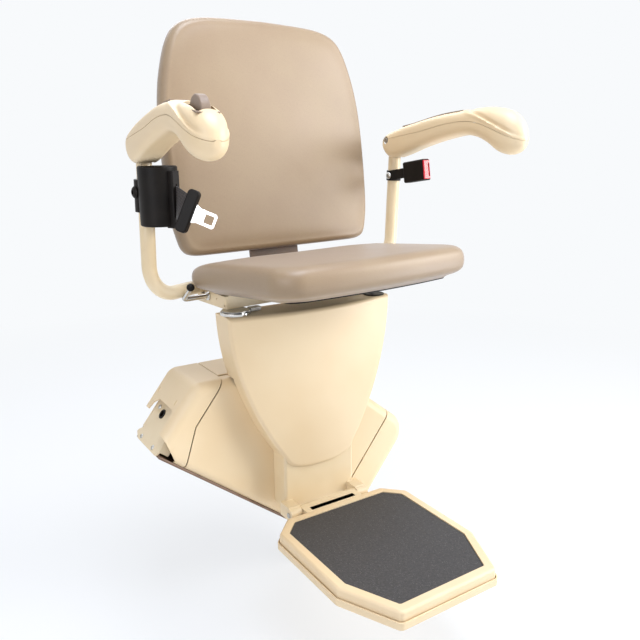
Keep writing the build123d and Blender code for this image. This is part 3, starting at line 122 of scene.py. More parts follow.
def creamAbs():
    # ABS, injection moulded with a fine spark-eroded grain: warm cream, satin, tones drift a little
    material, tree, shader, place = newSurface("cream moulded ABS", **{"IOR": 1.53})
    drift = addNode(tree, "ShaderNodeTexNoise", {"Scale": perMetre(160), "Detail": 2.0}, {"Vector": place})
    tint(tree, shader, drift.outputs["Fac"], "#E2C9A0", "#E6D0AA")
    spread(tree, shader, drift.outputs["Fac"], 0.36, 0.46)
    # the real grain is about 0.1 mm; drawn at 0.9 mm so that it shows close up
    grain = addNode(tree, "ShaderNodeTexNoise", {"Scale": perMetre(0.9), "Detail": 1.0}, {"Vector": place})
    relief(tree, shader, grain.outputs["Fac"], 0.05, 0.35)
    return material


def creamPowderCoat():
    # polyester powder coat on steel: same cream, glossier, with the faint orange peel of a sprayed finish
    material, tree, shader, place = newSurface("cream powder coat", **{
        "IOR": 1.5, "Coat Weight": 0.15, "Coat Roughness": 0.2})
    drift = addNode(tree, "ShaderNodeTexNoise", {"Scale": perMetre(90), "Detail": 2.0}, {"Vector": place})
    tint(tree, shader, drift.outputs["Fac"], "#E1CBA3", "#E7D4B0")
    spread(tree, shader, drift.outputs["Fac"], 0.3, 0.38)
    peel = addNode(tree, "ShaderNodeTexNoise", {"Scale": perMetre(2.6), "Detail": 1.0}, {"Vector": place})
    relief(tree, shader, peel.outputs["Fac"], 0.09, 0.4)
    return material


def taupeVinyl():
    # PVC upholstery vinyl, embossed like leather: warm taupe with painted shade in the grain's creases, dull
    # sheen that goes cool and pale at a slant
    material, tree, shader, place = newSurface("taupe upholstery vinyl", **{
        "IOR": 1.5, "Coat Weight": 0.3, "Coat Roughness": 0.36, "Sheen Weight": 0.18, "Sheen Roughness": 0.4,
        "Sheen Tint": linearColour("#DCE4FA")})
    pebble = addNode(tree, "ShaderNodeTexVoronoi", {"Scale": perMetre(1.7), "Randomness": 0.95},
                     {"Vector": place}, feature="DISTANCE_TO_EDGE")
    drift = addNode(tree, "ShaderNodeTexNoise", {"Scale": perMetre(70), "Detail": 3.0}, {"Vector": place})
    tone = tint(tree, None, drift.outputs["Fac"], "#957E62", "#998366")
    # painted shade: the creases between the pebbles of the grain are darkened by up to 14 percent
    creaseShadeMask = addNode(tree, "ShaderNodeMapRange", {"From Max": 0.12, "To Min": 0.86, "To Max": 1.0},
                     {"Value": pebble.outputs["Distance"]})
    paintedCreaseShade = addNode(tree, "ShaderNodeMix", {0: 1.0}, data_type="RGBA", blend_type="MULTIPLY")
    tree.links.new(tone, paintedCreaseShade.inputs[6])
    tree.links.new(creaseShadeMask.outputs["Result"], paintedCreaseShade.inputs[7])
    tree.links.new(paintedCreaseShade.outputs[2], shader.inputs["Base Color"])
    spread(tree, shader, drift.outputs["Fac"], 0.42, 0.55)
    soft = relief(tree, shader, pebble.outputs["Distance"], 0.12, 0.30)
    pull = addNode(tree, "ShaderNodeTexNoise", {"Scale": perMetre(46), "Detail": 2.0}, {"Vector": place})
    relief(tree, shader, pull.outputs["Fac"], 0.7, 0.2, soft)
    return material


def blackPolypropylene(name="black moulded polypropylene", low="#120F0D", high="#1B1714"):
    # polypropylene, moulded with a dull grain: nearly black, slightly warm
    material, tree, shader, place = newSurface(name, **{"IOR": 1.49, "Specular IOR Level": 0.16})
    drift = addNode(tree, "ShaderNodeTexNoise", {"Scale": perMetre(30), "Detail": 2.0}, {"Vector": place})
    tint(tree, shader, drift.outputs["Fac"], low, high)
    spread(tree, shader, drift.outputs["Fac"], 0.38, 0.5)
    grain = addNode(tree, "ShaderNodeTexNoise", {"Scale": perMetre(0.7)}, {"Vector": place})
    relief(tree, shader, grain.outputs["Fac"], 0.05, 0.4)
    return material


def taupeSoftTouch():
    # thermoplastic elastomer, moulded: the grey-brown of the toggle and of the arm strips, quite matt
    material, tree, shader, place = newSurface("taupe soft-touch elastomer", **{"IOR": 1.5})
    drift = addNode(tree, "ShaderNodeTexNoise", {"Scale": perMetre(24), "Detail": 2.0}, {"Vector": place})
    tint(tree, shader, drift.outputs["Fac"], "#83705F", "#907D6B")
    spread(tree, shader, drift.outputs["Fac"], 0.42, 0.55)
    grain = addNode(tree, "ShaderNodeTexNoise", {"Scale": perMetre(0.8)}, {"Vector": place})
    relief(tree, shader, grain.outputs["Fac"], 0.06, 0.4)
    return material


def speckledMat():
    # PVC floor mat with mineral grit rolled in: charcoal, warm, paler specks in some of its 2 mm grains
    material, tree, shader, place = newSurface("charcoal grit mat", **{"IOR": 1.5})
    grit = addNode(tree, "ShaderNodeTexVoronoi", {"Scale": perMetre(2.0), "Randomness": 1.0},
                   {"Vector": place})
    cloud = addNode(tree, "ShaderNodeTexNoise", {"Scale": perMetre(4.5), "Detail": 4.0}, {"Vector": place})
    base = tint(tree, None, cloud.outputs["Fac"], "#302E2D", "#434140", 0.3, 0.7)
    speck = addNode(tree, "ShaderNodeMapRange",
                    {"From Min": 0.12, "From Max": 0.3, "To Min": 1.0, "To Max": 0.0},
                    {"Value": grit.outputs["Distance"]})
    pick = addNode(tree, "ShaderNodeMapRange", {"From Min": 0.55, "From Max": 0.75},
                   {"Value": grit.outputs["Color"]})
    both = addNode(tree, "ShaderNodeMath", {}, {0: speck.outputs["Result"], 1: pick.outputs["Result"]},
                   operation="MULTIPLY")
    mix = addNode(tree, "ShaderNodeMix", {7: linearColour("#7A7775")},
                  {0: both.outputs[0], 6: base}, data_type="RGBA")
    tree.links.new(mix.outputs[2], shader.inputs["Base Color"])
    spread(tree, shader, cloud.outputs["Fac"], 0.55, 0.8)
    relief(tree, shader, grit.outputs["Distance"], 0.25, 0.6)
    return material


def chromePlate():
    # steel, polished and chrome plated: bright mirror with the faintest haze
    material, tree, shader, place = newSurface("chrome plated steel", **{"Metallic": 1.0})
    haze = addNode(tree, "ShaderNodeTexNoise", {"Scale": perMetre(14), "Detail": 3.0}, {"Vector": place})
    tint(tree, shader, haze.outputs["Fac"], "#C9C8C5", "#DBDAD7")
    spread(tree, shader, haze.outputs["Fac"], 0.1, 0.2)
    return material


def zincPlate():
    # steel, turned or pressed, then zinc plated: soft grey shine with fine rubbing marks
    material, tree, shader, place = newSurface("zinc plated steel", **{"Metallic": 1.0})
    stretch = addNode(tree, "ShaderNodeMapping", {"Scale": (1.0, 9.0, 1.0)}, {"Vector": place})
    marks = addNode(tree, "ShaderNodeTexNoise", {"Scale": perMetre(5), "Detail": 4.0},
                    {"Vector": stretch.outputs[0]})
    tint(tree, shader, marks.outputs["Fac"], "#A9A7A2", "#C4C2BC")
    spread(tree, shader, marks.outputs["Fac"], 0.26, 0.42)
    relief(tree, shader, marks.outputs["Fac"], 0.02, 0.3)
    return material


def brownPaintAndShade():
    # sheet steel in brown enamel: the strip under the covers, its dark brown partly the enamel and partly
    # painted shade of that underside
    material, tree, shader, place = newSurface("brown enamel with painted shade", **{"IOR": 1.5, "Coat Weight": 0.2})
    drift = addNode(tree, "ShaderNodeTexNoise", {"Scale": perMetre(40), "Detail": 3.0}, {"Vector": place})
    # dark brown: partly the enamel's own colour, partly painted shade under the covers
    tint(tree, shader, drift.outputs["Fac"], "#6E5440", "#826650")
    spread(tree, shader, drift.outputs["Fac"], 0.34, 0.48)
    peel = addNode(tree, "ShaderNodeTexNoise", {"Scale": perMetre(2.2)}, {"Vector": place})
    relief(tree, shader, peel.outputs["Fac"], 0.08, 0.4)
    return material


def wovenWebbing():
    # polyester belt webbing: lengthwise ribs crossed by a fine weave, read from the strip's own map
    material, tree, shader, place = newSurface("black woven polyester", **{
        "IOR": 1.5, "Sheen Weight": 0.3, "Sheen Roughness": 0.4})
    strip = addNode(tree, "ShaderNodeUVMap", uv_map="strip").outputs["UV"]
    turn = 6.283  # radians in one turn
    ribs = addNode(tree, "ShaderNodeTexWave", {"Scale": perMetre(2.0) / turn, "Distortion": 0.0},
                   {"Vector": strip}, wave_type="BANDS", bands_direction="X")
    cross = addNode(tree, "ShaderNodeTexWave", {"Scale": perMetre(1.2) / turn, "Distortion": 0.4},
                    {"Vector": strip}, wave_type="BANDS", bands_direction="DIAGONAL")
    weave = addNode(tree, "ShaderNodeMath", {}, {0: ribs.outputs["Fac"], 1: cross.outputs["Fac"]},
                    operation="ADD")
    tint(tree, shader, weave.outputs[0], "#1B1817", "#3A3431", 0.4, 1.6)
    spread(tree, shader, ribs.outputs["Fac"], 0.6, 0.75)
    relief(tree, shader, weave.outputs[0], 0.35, 0.8)
    return material


def redAcetal():
    # acetal, polished in the mould: clear signal red
    material, tree, shader, place = newSurface("red moulded acetal", **{"IOR": 1.48, "Coat Weight": 0.3})
    drift = addNode(tree, "ShaderNodeTexNoise", {"Scale": perMetre(12)}, {"Vector": place})
    tint(tree, shader, drift.outputs["Fac"], "#C9202F", "#DC3442")
    spread(tree, shader, drift.outputs["Fac"], 0.2, 0.3)
    return material


def hiddenFinish(name, low, high, metallic, rough, size):
    # parts that only show with the covers off
    material, tree, shader, place = newSurface(name, **{"Metallic": metallic})
    grain = addNode(tree, "ShaderNodeTexNoise", {"Scale": perMetre(size), "Detail": 3.0}, {"Vector": place})
    tint(tree, shader, grain.outputs["Fac"], low, high)
    spread(tree, shader, grain.outputs["Fac"], rough - 0.06, rough + 0.06)
    relief(tree, shader, grain.outputs["Fac"], 0.1, 0.3)
    return material


finishes = {
    "cream_abs": creamAbs(),
    "cream_paint": creamPowderCoat(),
    "vinyl": taupeVinyl(),
    "dark_plastic": blackPolypropylene(),
    "taupe_plastic": taupeSoftTouch(),
    "mat_rubber": speckledMat(),
    "chrome_steel": chromePlate(),
    "bright_steel": zincPlate(),
    "brown_steel": brownPaintAndShade(),
    "webbing": wovenWebbing(),
    "red_plastic": redAcetal(),
    "bush_bronze": hiddenFinish("sintered bronze", "#8C6A3C", "#A17C49", 1.0, 0.4, 1.5),
    "nylon": hiddenFinish("turned nylon", "#C9C6BC", "#D6D3C9", 0.0, 0.42, 3.0),
    "gear_metal": hiddenFinish("die-cast aluminium", "#7B7C7E", "#8D8E90", 1.0, 0.5, 2.0),
    "motor_paint": hiddenFinish("black motor enamel", "#1C1D20", "#26272B", 0.0, 0.4, 4.0),
    "battery_case": hiddenFinish("battery polypropylene", "#242528", "#303136", 0.0, 0.5, 6.0),
    "circuit_board": hiddenFinish("glass-epoxy laminate", "#1D5A33", "#276B3F", 0.0, 0.35, 3.0),
}
# the stop under the seat: rubber, moulded, as dull as the polypropylene and a little paler
soleRubber = blackPolypropylene("black chloroprene rubber", "#1D1917", "#292522")
print("materials ready:", len(finishes))


# ---- pieces made from the frame's own solids

def settle(piece, body, slot, *nodes):
    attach(piece, body)
    if nodes:
        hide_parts(*nodes)
    return piece


def finishEdges(piece, width, angle=32.0):
    # small moulded or broken edges that catch the light
    mesh = piece.data
    mesh.shade_smooth()
    mesh.set_sharp_from_angle(angle=math.radians(angle))
    if width:
        bevel = piece.modifiers.new("edge", "BEVEL")
        bevel.width, bevel.segments = width * mm, 2
        bevel.limit_method, bevel.angle_limit = "ANGLE", math.radians(angle)
        bevel.miter_outer = "MITER_ARC"
    weighted = piece.modifiers.new("even shading", "WEIGHTED_NORMAL")
    weighted.keep_sharp = True
    return piece


def dress(node, width, material=None):
    # the solid's own form, with welded corners, broken edges and its finish
    mesh = frame["nodes"][node].data.copy()
    form = bmesh.new()
    form.from_mesh(mesh)
    bmesh.ops.remove_doubles(form, verts=form.verts, dist=0.00002)
    bmesh.ops.dissolve_limit(form, angle_limit=math.radians(0.4), verts=form.verts, edges=form.edges)
    form.to_mesh(mesh)
    form.free()
    piece = bpy.data.objects.new(node + "_skin", mesh)
    bpy.context.scene.collection.objects.link(piece)
    mesh.materials.clear()
    mesh.materials.append(material or finishes[slotOf[node]])
    finishEdges(piece, width)
    return settle(piece, bodyOf[node], slotOf[node], node)


# ---- building meshes from rings of points

def meshPiece(name, points, faces, material, place=Matrix.Identity(4)):
    mesh = bpy.data.meshes.new(name)
    mesh.from_pydata([(place @ Vector(p)) * mm for p in points], [], faces)
    form = bmesh.new()
    form.from_mesh(mesh)
    bmesh.ops.recalc_face_normals(form, faces=form.faces)
    form.to_mesh(mesh)
    form.free()
    mesh.materials.append(material)
    mesh.shade_smooth()
    piece = bpy.data.objects.new(name, mesh)
    bpy.context.scene.collection.objects.link(piece)
    return piece


def joinRings(rings, capEnds=True):
    # quads between rings of equal count, and a fan over each end
    points, faces = [p for ring in rings for p in ring], []
    count = len(rings[0])
    for row in range(len(rings) - 1):
        for column in range(count):
            following = (column + 1) % count
            a, b = row * count, (row + 1) * count
            faces.append((a + column, a + following, b + following, b + column))
    for row in (0, len(rings) - 1) if capEnds else ():
        middle = sum((Vector(p) for p in rings[row]), Vector()) / count
        points.append(tuple(middle))
        for column in range(count):
            faces.append((row * count + column, row * count + (column + 1) % count, len(points) - 1))
    return points, faces


def smoothLine(points, rounds):
    # rounds the corners of an open line of points by cutting them again and again
    for _ in range(rounds):
        line = [points[0]]
        for a, b in zip(points, points[1:]):
            line.append(tuple(0.75 * p + 0.25 * q for p, q in zip(a, b)))
            line.append(tuple(0.25 * p + 0.75 * q for p, q in zip(a, b)))
        points = line + [points[-1]]
    return points


def spacedOut(points, count):
    # points at even steps round a closed line
    loop = points + [points[0]]
    lengths = [0.0]
    for a, b in zip(loop, loop[1:]):
        lengths.append(lengths[-1] + math.dist(a, b))
    line, place = [], 0
    for step in range(count):
        target = lengths[-1] * step / count
        while lengths[place + 1] < target:
            place += 1
        share = (target - lengths[place]) / max(lengths[place + 1] - lengths[place], 1e-9)
        line.append(tuple(p + (q - p) * share for p, q in zip(loop[place], loop[place + 1])))
    return line


def drawnIn(outline, amount):
    # the outline squeezed towards its middle, so that each side moves in by the amount
    low = [min(p[i] for p in outline) for i in (0, 1)]
    high = [max(p[i] for p in outline) for i in (0, 1)]
    middle = [(a + b) / 2 for a, b in zip(low, high)]
    share = [1 - 2 * amount / (b - a) for a, b in zip(low, high)]
    return [tuple(middle[i] + (p[i] - middle[i]) * share[i] for i in (0, 1)) for p in outline]


def scaledTo(outline, middle, share):
    return [(middle[0] + (x - middle[0]) * share, middle[1] + (y - middle[1]) * share) for x, y in outline]


def curveThrough(keys, at):
    # smooth value through (position, value) keys, for positions that rise
    keys = sorted(keys)
    if at <= keys[0][0]:
        return keys[0][1]
    if at >= keys[-1][0]:
        return keys[-1][1]
    row = max(i for i, key in enumerate(keys) if key[0] <= at and i < len(keys) - 1)

    def slope(i):
        low, high = max(i - 1, 0), min(i + 1, len(keys) - 1)
        return (keys[high][1] - keys[low][1]) / (keys[high][0] - keys[low][0])
    (x0, v0), (x1, v1) = keys[row], keys[row + 1]
    span = x1 - x0
    t = (at - x0) / span
    return (v0 * (2 * t ** 3 - 3 * t ** 2 + 1) + slope(row) * span * (t ** 3 - 2 * t ** 2 + t)
            + v1 * (3 * t ** 2 - 2 * t ** 3) + slope(row + 1) * span * (t ** 3 - t ** 2))


def cutAway(piece, low, high):
    # takes a box out of a piece
    sides = [(low[1], low[2]), (high[1], low[2]), (high[1], high[2]), (low[1], high[2])]
    cutProfile(piece, sides, low[0], high[0])


def cutProfile(piece, sides, start, end):
    # takes out a bar with this (y, z) outline, between two x values
    rings = [[(x, y, z) for y, z in sides] for x in (start, end)]
    takeOut(piece, meshPiece("cutter", *joinRings(rings), piece.data.materials[0]))


def boreOut(piece, start, end, radius, sides=40):
    # drills a round hole between two points that differ along x
    rings = []
    for x in (start[0], end[0]):
        angles = [math.tau * i / sides for i in range(sides)]
        rings.append([(x, start[1] + radius * math.cos(a), start[2] + radius * math.sin(a)) for a in angles])
    takeOut(piece, meshPiece("cutter", *joinRings(rings), piece.data.materials[0]))


def takeOut(piece, cutter):
    cut = piece.modifiers.new("cut", "BOOLEAN")
    cut.operation, cut.solver, cut.object = "DIFFERENCE", "MANIFOLD", cutter
    applyModifiers(piece)
    bpy.data.objects.remove(cutter)


def applyModifiers(piece):
    graph = bpy.context.evaluated_depsgraph_get()
    mesh = bpy.data.meshes.new_from_object(piece.evaluated_get(graph))
    piece.modifiers.clear()
    piece.data = mesh


def inMetres(place):
    # the same move for a mesh that is already in metres
    moved = place.copy()
    moved.translation = place.translation * mm
    return moved


# ---- seat cushion

seatPad = {
    "half": 207.0, "rear": -90.0, "side": -402.0, "bow": 19.0, "corner": 40.0, "waist": 2.0,
    "rake": 5.0, "hingeLine": -157.0, "underside": 444.0,
    "boardInset": 33.7, "boardCorner": 28.3, "boardDepth": 5.3,
    "foldAxis": (-134.0, 484.0), "foldReach": 42.4,
    "foldBehind": 150.0, "foldBelow": 120.0, "foldHalf": 300.0,
    "bowStart": -300.0, "bowRun": 102.0, "cornerSteps": 16, "topRings": 15, "count": 220,
    "crown": 4.6, "dish": 2.2, "dishWide": 120, "dishDeep": 100,
    "rearDrop": 8.0, "dropStart": -180.0, "dropRun": 90.0, "dropFrom": 20.0, "dropHeight": 38.0,
    # the slots for the two fold lugs
    "lugSides": (91.0, 106.0), "lugLow": (-168.0, 380.0), "lugHigh": (0.0, 492.0),
    # inset from the outline and height over the underside, from below the rim to the top edge
    "edge": [(28, 2.6), (24, 5.4), (19, 7.6), (13, 9.6), (8.5, 11.8), (5, 14.6), (2.4, 18.4), (0.8, 23.5),
             (0, 30), (0, 36), (0.8, 42), (2.6, 47.2), (5.6, 51.4), (9.8, 54.6), (15, 56.6), (22, 57.8)],
}


def seatOutline(pad, inset, radius):
    half, rear, side = pad["half"] - inset, pad["rear"] - inset, pad["side"] + inset
    line = []
    for sx, y, start in ((1, side, -90), (1, rear, 0), (-1, rear, 90), (-1, side, 180)):
        cx, cy = sx * (half - radius), y + (radius if y == side else -radius)
        for step in range(pad["cornerSteps"] + 1):
            angle = math.radians(start + 90 * step / pad["cornerSteps"])
            line.append((cx + radius * math.cos(angle), cy + radius * math.sin(angle)))
    shaped = []
    for x, y in spacedOut(line, pad["count"]):
        forward = min(max((pad["bowStart"] - y) / pad["bowRun"], 0.0), 1.0)
        along = min(max((y - side) / (rear - side), 0.0), 1.0)
        shaped.append((x * (1 - pad["waist"] / half * math.sin(math.pi * along)),
                       y - pad["bow"] * (1 - (x / half) ** 2) * forward * forward))
    return spacedOut(shaped, pad["count"])


def rearDrop(pad, y, height):
    # the top lies lower towards the backrest, so that the seat can fold up
    back = min(max((y - pad["dropStart"]) / pad["dropRun"], 0.0), 1.0)
    share = max(height - pad["dropFrom"], 0.0)
    return height - pad["rearDrop"] * back * back * (3 - 2 * back) * share / pad["dropHeight"]


def seatCushion(pad):
    outline = seatOutline(pad, 0.0, pad["corner"])
    rake = (Matrix.Translation((0, pad["hingeLine"], pad["underside"]))
            @ Matrix.Rotation(math.radians(-pad["rake"]), 4, "X")
            @ Matrix.Translation((0, -pad["hingeLine"], 0)))
    middle = (0.0, (pad["rear"] + pad["side"]) / 2)
    pocket = seatOutline(pad, pad["boardInset"], pad["boardCorner"])
    rings = [[(x, y, pad["boardDepth"]) for x, y in pocket], [(x, y, 0.0) for x, y in pocket]]
    for inset, height in pad["edge"]:
        rings.append([(x, y, rearDrop(pad, y, height)) for x, y in drawnIn(outline, inset)])
    lastInset, lastHeight = pad["edge"][-1]
    rim = drawnIn(outline, lastInset)
    for step in range(1, pad["topRings"]):
        share = 1 - step / pad["topRings"]
        crown = pad["crown"] * (1 - share ** 2)
        ring = []
        for x, y in scaledTo(rim, middle, share):
            away = (x / pad["dishWide"]) ** 2 + ((y - middle[1]) / pad["dishDeep"]) ** 2
            dish = pad["dish"] * math.exp(-away)
            ring.append((x, y, rearDrop(pad, y, lastHeight + crown - dish)))
        rings.append(ring)
    piece = meshPiece("seatCushion", *joinRings(rings), finishes["vinyl"], rake)
    for side in (-1, 1):
        low, high = sorted(side * x for x in pad["lugSides"])
        cutAway(piece, (low, *pad["lugLow"]), (high, *pad["lugHigh"]))
    # room behind the fold axis, where the cushion swings down past the base
    y, z = pad["foldAxis"]
    reach = pad["foldReach"]
    behind, below = y + pad["foldBehind"], z - pad["foldBelow"]
    turns = [math.radians(a) for a in range(0, 91, 5)]
    arc = [(y + reach * math.sin(a), z - reach * math.cos(a)) for a in turns]
    cutProfile(piece, arc + [(behind, z), (behind, below), (y, below)], -pad["foldHalf"], pad["foldHalf"])
    piece.data.transform(inMetres(onSeat))
    finishEdges(piece, 0, 50)
    return settle(piece, "seat_pad", "vinyl", "seat_cushion")


seatCushion(seatPad)
print("seat cushion made")


# ---- backrest cushion

backPad = {
    "lean": 8.0, "low": 505.0, "middle": -92.0, "height": 418.0, "count": 260,
    "side": [(0, 0), (150, 0), (190, 0.5), (207, 8), (214, 30), (221, 66), (224, 150), (222.5, 240),
             (214.5, 300), (202, 345), (190, 376), (172, 400), (135, 413), (80, 416.5), (0, 418)],
    # inset from the outline and distance in front of the middle of the thickness
    "edge": [(26, 14), (10, 14), (5, 13.2), (1.6, 10), (0.2, 5), (-0.4, -1), (0.1, -7), (1.5, -12),
             (4.2, -16), (7.6, -18.6), (10.5, -19.2), (13, -19.4), (17, -20.4), (24, -21.8), (33, -23)],
    "crown": 5.6, "cornerRounds": 3, "crownCentre": 0.47, "frontRings": 17,
}


def backrestCushion(pad):
    half = smoothLine(pad["side"], pad["cornerRounds"])
    outline = spacedOut(half[:-1] + [(-x, z) for x, z in reversed(half[1:])], pad["count"])
    lean = (Matrix.Translation((0, pad["middle"], pad["low"]))
            @ Matrix.Rotation(math.radians(-pad["lean"]), 4, "X"))
    middle = (0.0, pad["height"] * pad["crownCentre"])
    rings = [[(x, y, z) for x, z in drawnIn(outline, inset)] for inset, y in pad["edge"]]
    lastInset, lastY = pad["edge"][-1]
    rim = drawnIn(outline, lastInset)
    for step in range(1, pad["frontRings"]):
        share = 1 - step / pad["frontRings"]
        y = lastY - pad["crown"] * (1 - share ** 2)
        rings.append([(x, y, z) for x, z in scaledTo(rim, middle, share)])
    piece = meshPiece("backrestCushion", *joinRings(rings), finishes["vinyl"], onSeat @ lean)
    return settle(piece, "seat", "vinyl", "backrest_cushion")


backrestCushion(backPad)
print("backrest cushion made")


# ---- arms

arm = {
    "postX": 280.0, "pivotY": -113.0, "pivotZ": 705.0, "splay": 3.5, "wall": 2.6,
    "leftMore": 3.3, "rear": -100.0, "nose": -431.0, "stations": 120, "upperPoints": 64, "lowerPoints": 48,
    "top": [(-431, 701), (-429.5, 713), (-424, 728), (-414, 741), (-398, 750.5), (-372, 757), (-345, 758.5),
            (-320, 757.5), (-280, 754), (-240, 749), (-165, 734), (-130, 725), (-112, 719), (-104, 712),
            (-100, 704)],
    # the left arm dips where the toggle stands
    "topLeft": [(-431, 701), (-429, 711), (-423, 723), (-413, 733), (-398, 740.5), (-372, 747),
                (-345, 751.5), (-320, 754), (-280, 754), (-240, 749), (-165, 734), (-130, 725), (-112, 719),
                (-104, 712), (-100, 704)],
    "low": [(-431, 701), (-429.5, 691), (-424, 683), (-414, 677.5), (-400, 675.5), (-380, 681), (-360, 695),
            (-335, 707), (-305, 711.5), (-255, 704), (-205, 692), (-150, 674.5), (-126, 669), (-112, 674),
            (-103, 688), (-100, 704)],
    "width": [(-431, 3), (-428, 11), (-421, 18.5), (-410, 24), (-395, 27), (-370, 28.5), (-335, 27.5),
              (-290, 26), (-200, 25), (-125, 24.8), (-110, 24.2), (-103, 22), (-100, 16)],
    "seam": [(-431, 699), (-401, 710), (-356, 728), (-321, 735.5), (-272, 733), (-207, 721), (-119, 708),
             (-100, 705)],
    "squareness": [(-431, 2.0), (-400, 2.3), (-340, 2.8), (-280, 3.4), (-150, 4.0), (-100, 3.0)],
    # height of the line where the palm rest begins
    "border": [(-431, 705), (-418, 709), (-402, 716), (-388, 723), (-372, 731), (-355, 739), (-338, 746),
               (-322, 751), (-308, 756), (-298, 761), (-288, 768), (-100, 900)],
    "sunk": 2.4, "sunkAt": 3.0, "sunkWidth": 3.6, "borderRise": 1.3, "borderAt": 2.0, "borderWidth": 3.2,
    "swell": 1.8, "swellRun": 16.0, "fadeRun": 30.0, "gap": 0.7,
    # slot for the post's barrel, bore for the pin
    "slotHalf": 15.2, "slotAhead": 26, "slotLow": 600, "slotAbove": 11,
    "bore": (16.0, 40.0), "boreRadius": 7.6,
    # where the bezel is in the frame and where it goes, and the toggle's shift
    "bezelFrom": (0, -334.0, 758.0), "bezelTo": (0, -380.0, 739.5), "bezelTilt": 11,
    "toggleShift": (0, -48.0, -8.5),
    "toggleOpening": ((-15.0, -405.0, 725.0), (11.0, -355.0, 800.0)),
}


def armPoint(form, y, angle):
    # a point of the arm's surface; angle is counted from the right-hand side over the top
    top, low = curveThrough(form["top"], y), curveThrough(form["low"], y)
    power = 2 / curveThrough(arm["squareness"], y)
    across, up = math.cos(angle), math.sin(angle)
    x = curveThrough(arm["width"], y) * math.copysign(abs(across) ** power, across)
    return x, (top + low) / 2 + (top - low) / 2 * math.copysign(abs(up) ** power, up)


def seamAngle(form, y):
    top, low = curveThrough(form["top"], y), curveThrough(form["low"], y)
    share = (curveThrough(arm["seam"], y) - (top + low) / 2) / max((top - low) / 2, 9.0)
    share = min(max(share, -0.9), 0.9)
    return math.copysign(math.asin(abs(share) ** (curveThrough(arm["squareness"], y) / 2)), share)


def palmRelief(y, z):
    # a groove, a raised border outside it and the palm rest swelling inside it
    inside = z - curveThrough(arm["border"], y)
    fade = min(max((y - arm["nose"]) / arm["fadeRun"], 0.25), 1.0)
    if inside > 0:
        groove = arm["sunk"] * math.exp(-((inside - arm["sunkAt"]) / arm["sunkWidth"]) ** 2)
        return fade * (arm["swell"] * min(inside / arm["swellRun"], 1.0) - groove)
    return fade * arm["borderRise"] * math.exp(-((inside + arm["borderAt"]) / arm["borderWidth"]) ** 2)


def armStations():
    # places along the arm, closer together towards both ends
    span, count = arm["nose"] - arm["rear"], arm["stations"]
    turns = [math.pi * (i + 0.35) / (count - 0.3) for i in range(count)]
    return [arm["rear"] + span * (1 - math.cos(turn)) / 2 for turn in turns]


def armInside(form, y, angle):
    # the point on the inner side of the moulding's wall
    wall = arm["wall"]
    y = min(max(y, arm["nose"] + wall), arm["rear"] - wall)
    top, low, wide = (curveThrough(form[key], y) for key in ("top", "low", "width"))
    x, z = armPoint(form, y, angle)
    middle = (top + low) / 2
    across, upright = max(1 - wall / wide, 0.08), max(1 - 2 * wall / max(top - low, 0.1), 0.08)
    return x * across, y, middle + (z - middle) * upright


def armShell(form, upper, side, name):
    count = arm["upperPoints"] if upper else arm["lowerPoints"]
    rings = []
    for y in armStations():
        seam = seamAngle(form, y)
        start, end = (seam, math.pi - seam) if upper else (math.pi - seam, math.tau + seam)
        middle = (curveThrough(form["top"], y) + curveThrough(form["low"], y)) / 2
        outside, inside = [], []
        for i in range(count + 1):
            share = i / count
            x, z = armPoint(form, y, start + (end - start) * share)
            shift = arm["gap"] / 2 * max(0.0, 1 - (1 - abs(2 * share - 1)) * 12) * (1 if upper else -1)
            if upper:
                push = palmRelief(y, z)
                length = max(math.hypot(x, z - middle), 1.0)
                x, z = x + push * x / length, z + push * (z - middle) / length
            outside.append((x, y, z + shift))
            x, deep, z = armInside(form, y, start + (end - start) * share)
            inside.append((x, deep, z + shift))
        rings.append(outside + inside[::-1])
    points, faces = joinRings(rings, capEnds=False)
    size = 2 * (count + 1)
    for row in (0, (len(rings) - 1) * size):
        for i in range(count):
            faces.append((row + i, row + i + 1, row + size - 2 - i, row + size - 1 - i))
    piece = meshPiece(name, points, faces, finishes["cream_abs"])
    half, pivotY, pivotZ = arm["slotHalf"], arm["pivotY"], arm["pivotZ"]
    cutAway(piece, (-half, pivotY - arm["slotAhead"], arm["slotLow"]), (half, 0, pivotZ + arm["slotAbove"]))
    boreStart, boreEnd = ((-side * x, pivotY, pivotZ) for x in arm["bore"])
    boreOut(piece, boreStart, boreEnd, arm["boreRadius"])
    return piece


def armPlace(side, more=0.0):
    turn = Matrix.Rotation(math.radians(side * (arm["splay"] + more)), 4, "Z")
    return (onSeat @ Matrix.Translation((side * arm["postX"], arm["pivotY"], 0)) @ turn
            @ Matrix.Translation((0, -arm["pivotY"], 0)))


# the left arm is turned further out than the right one, and its toggle and bezel sit nearer to the nose:
# all five left pieces stand off the nodes that they replace
leftPlace = armPlace(-1, arm["leftMore"])
toggleMoves = {
    "arm_left_pad": Matrix.Identity(4),
    "toggle_bezel": (Matrix.Translation(arm["bezelTo"])
                     @ Matrix.Rotation(math.radians(arm["bezelTilt"]), 4, "X")
                     @ Matrix.Translation(-Vector(arm["bezelFrom"]))),
    "control_toggle": Matrix.Translation(arm["toggleShift"]),
}


def makeArms():
    for side, body, place in ((-1, "arm_left", leftPlace), (1, "arm_right", armPlace(1))):
        form = dict(arm, top=arm["topLeft"]) if side < 0 else arm
        for upper, part in ((True, "_upper"), (False, "_lower")):
            piece = armShell(form, upper, side, body + part + "_moulding")
            if side < 0 and upper:
                cutAway(piece, *arm["toggleOpening"])
            piece.data.transform(inMetres(place))
            finishEdges(piece, 0, 40)
            settle(piece, body, "cream_abs", body + part)
    for node, shift in toggleMoves.items():
        piece = dress(node, 0.35, material=finishes["taupe_plastic"])
        piece.data.transform(inMetres(leftPlace @ shift @ armPlace(-1).inverted()))


makeArms()
print("arms made")


# ---- belt webbing

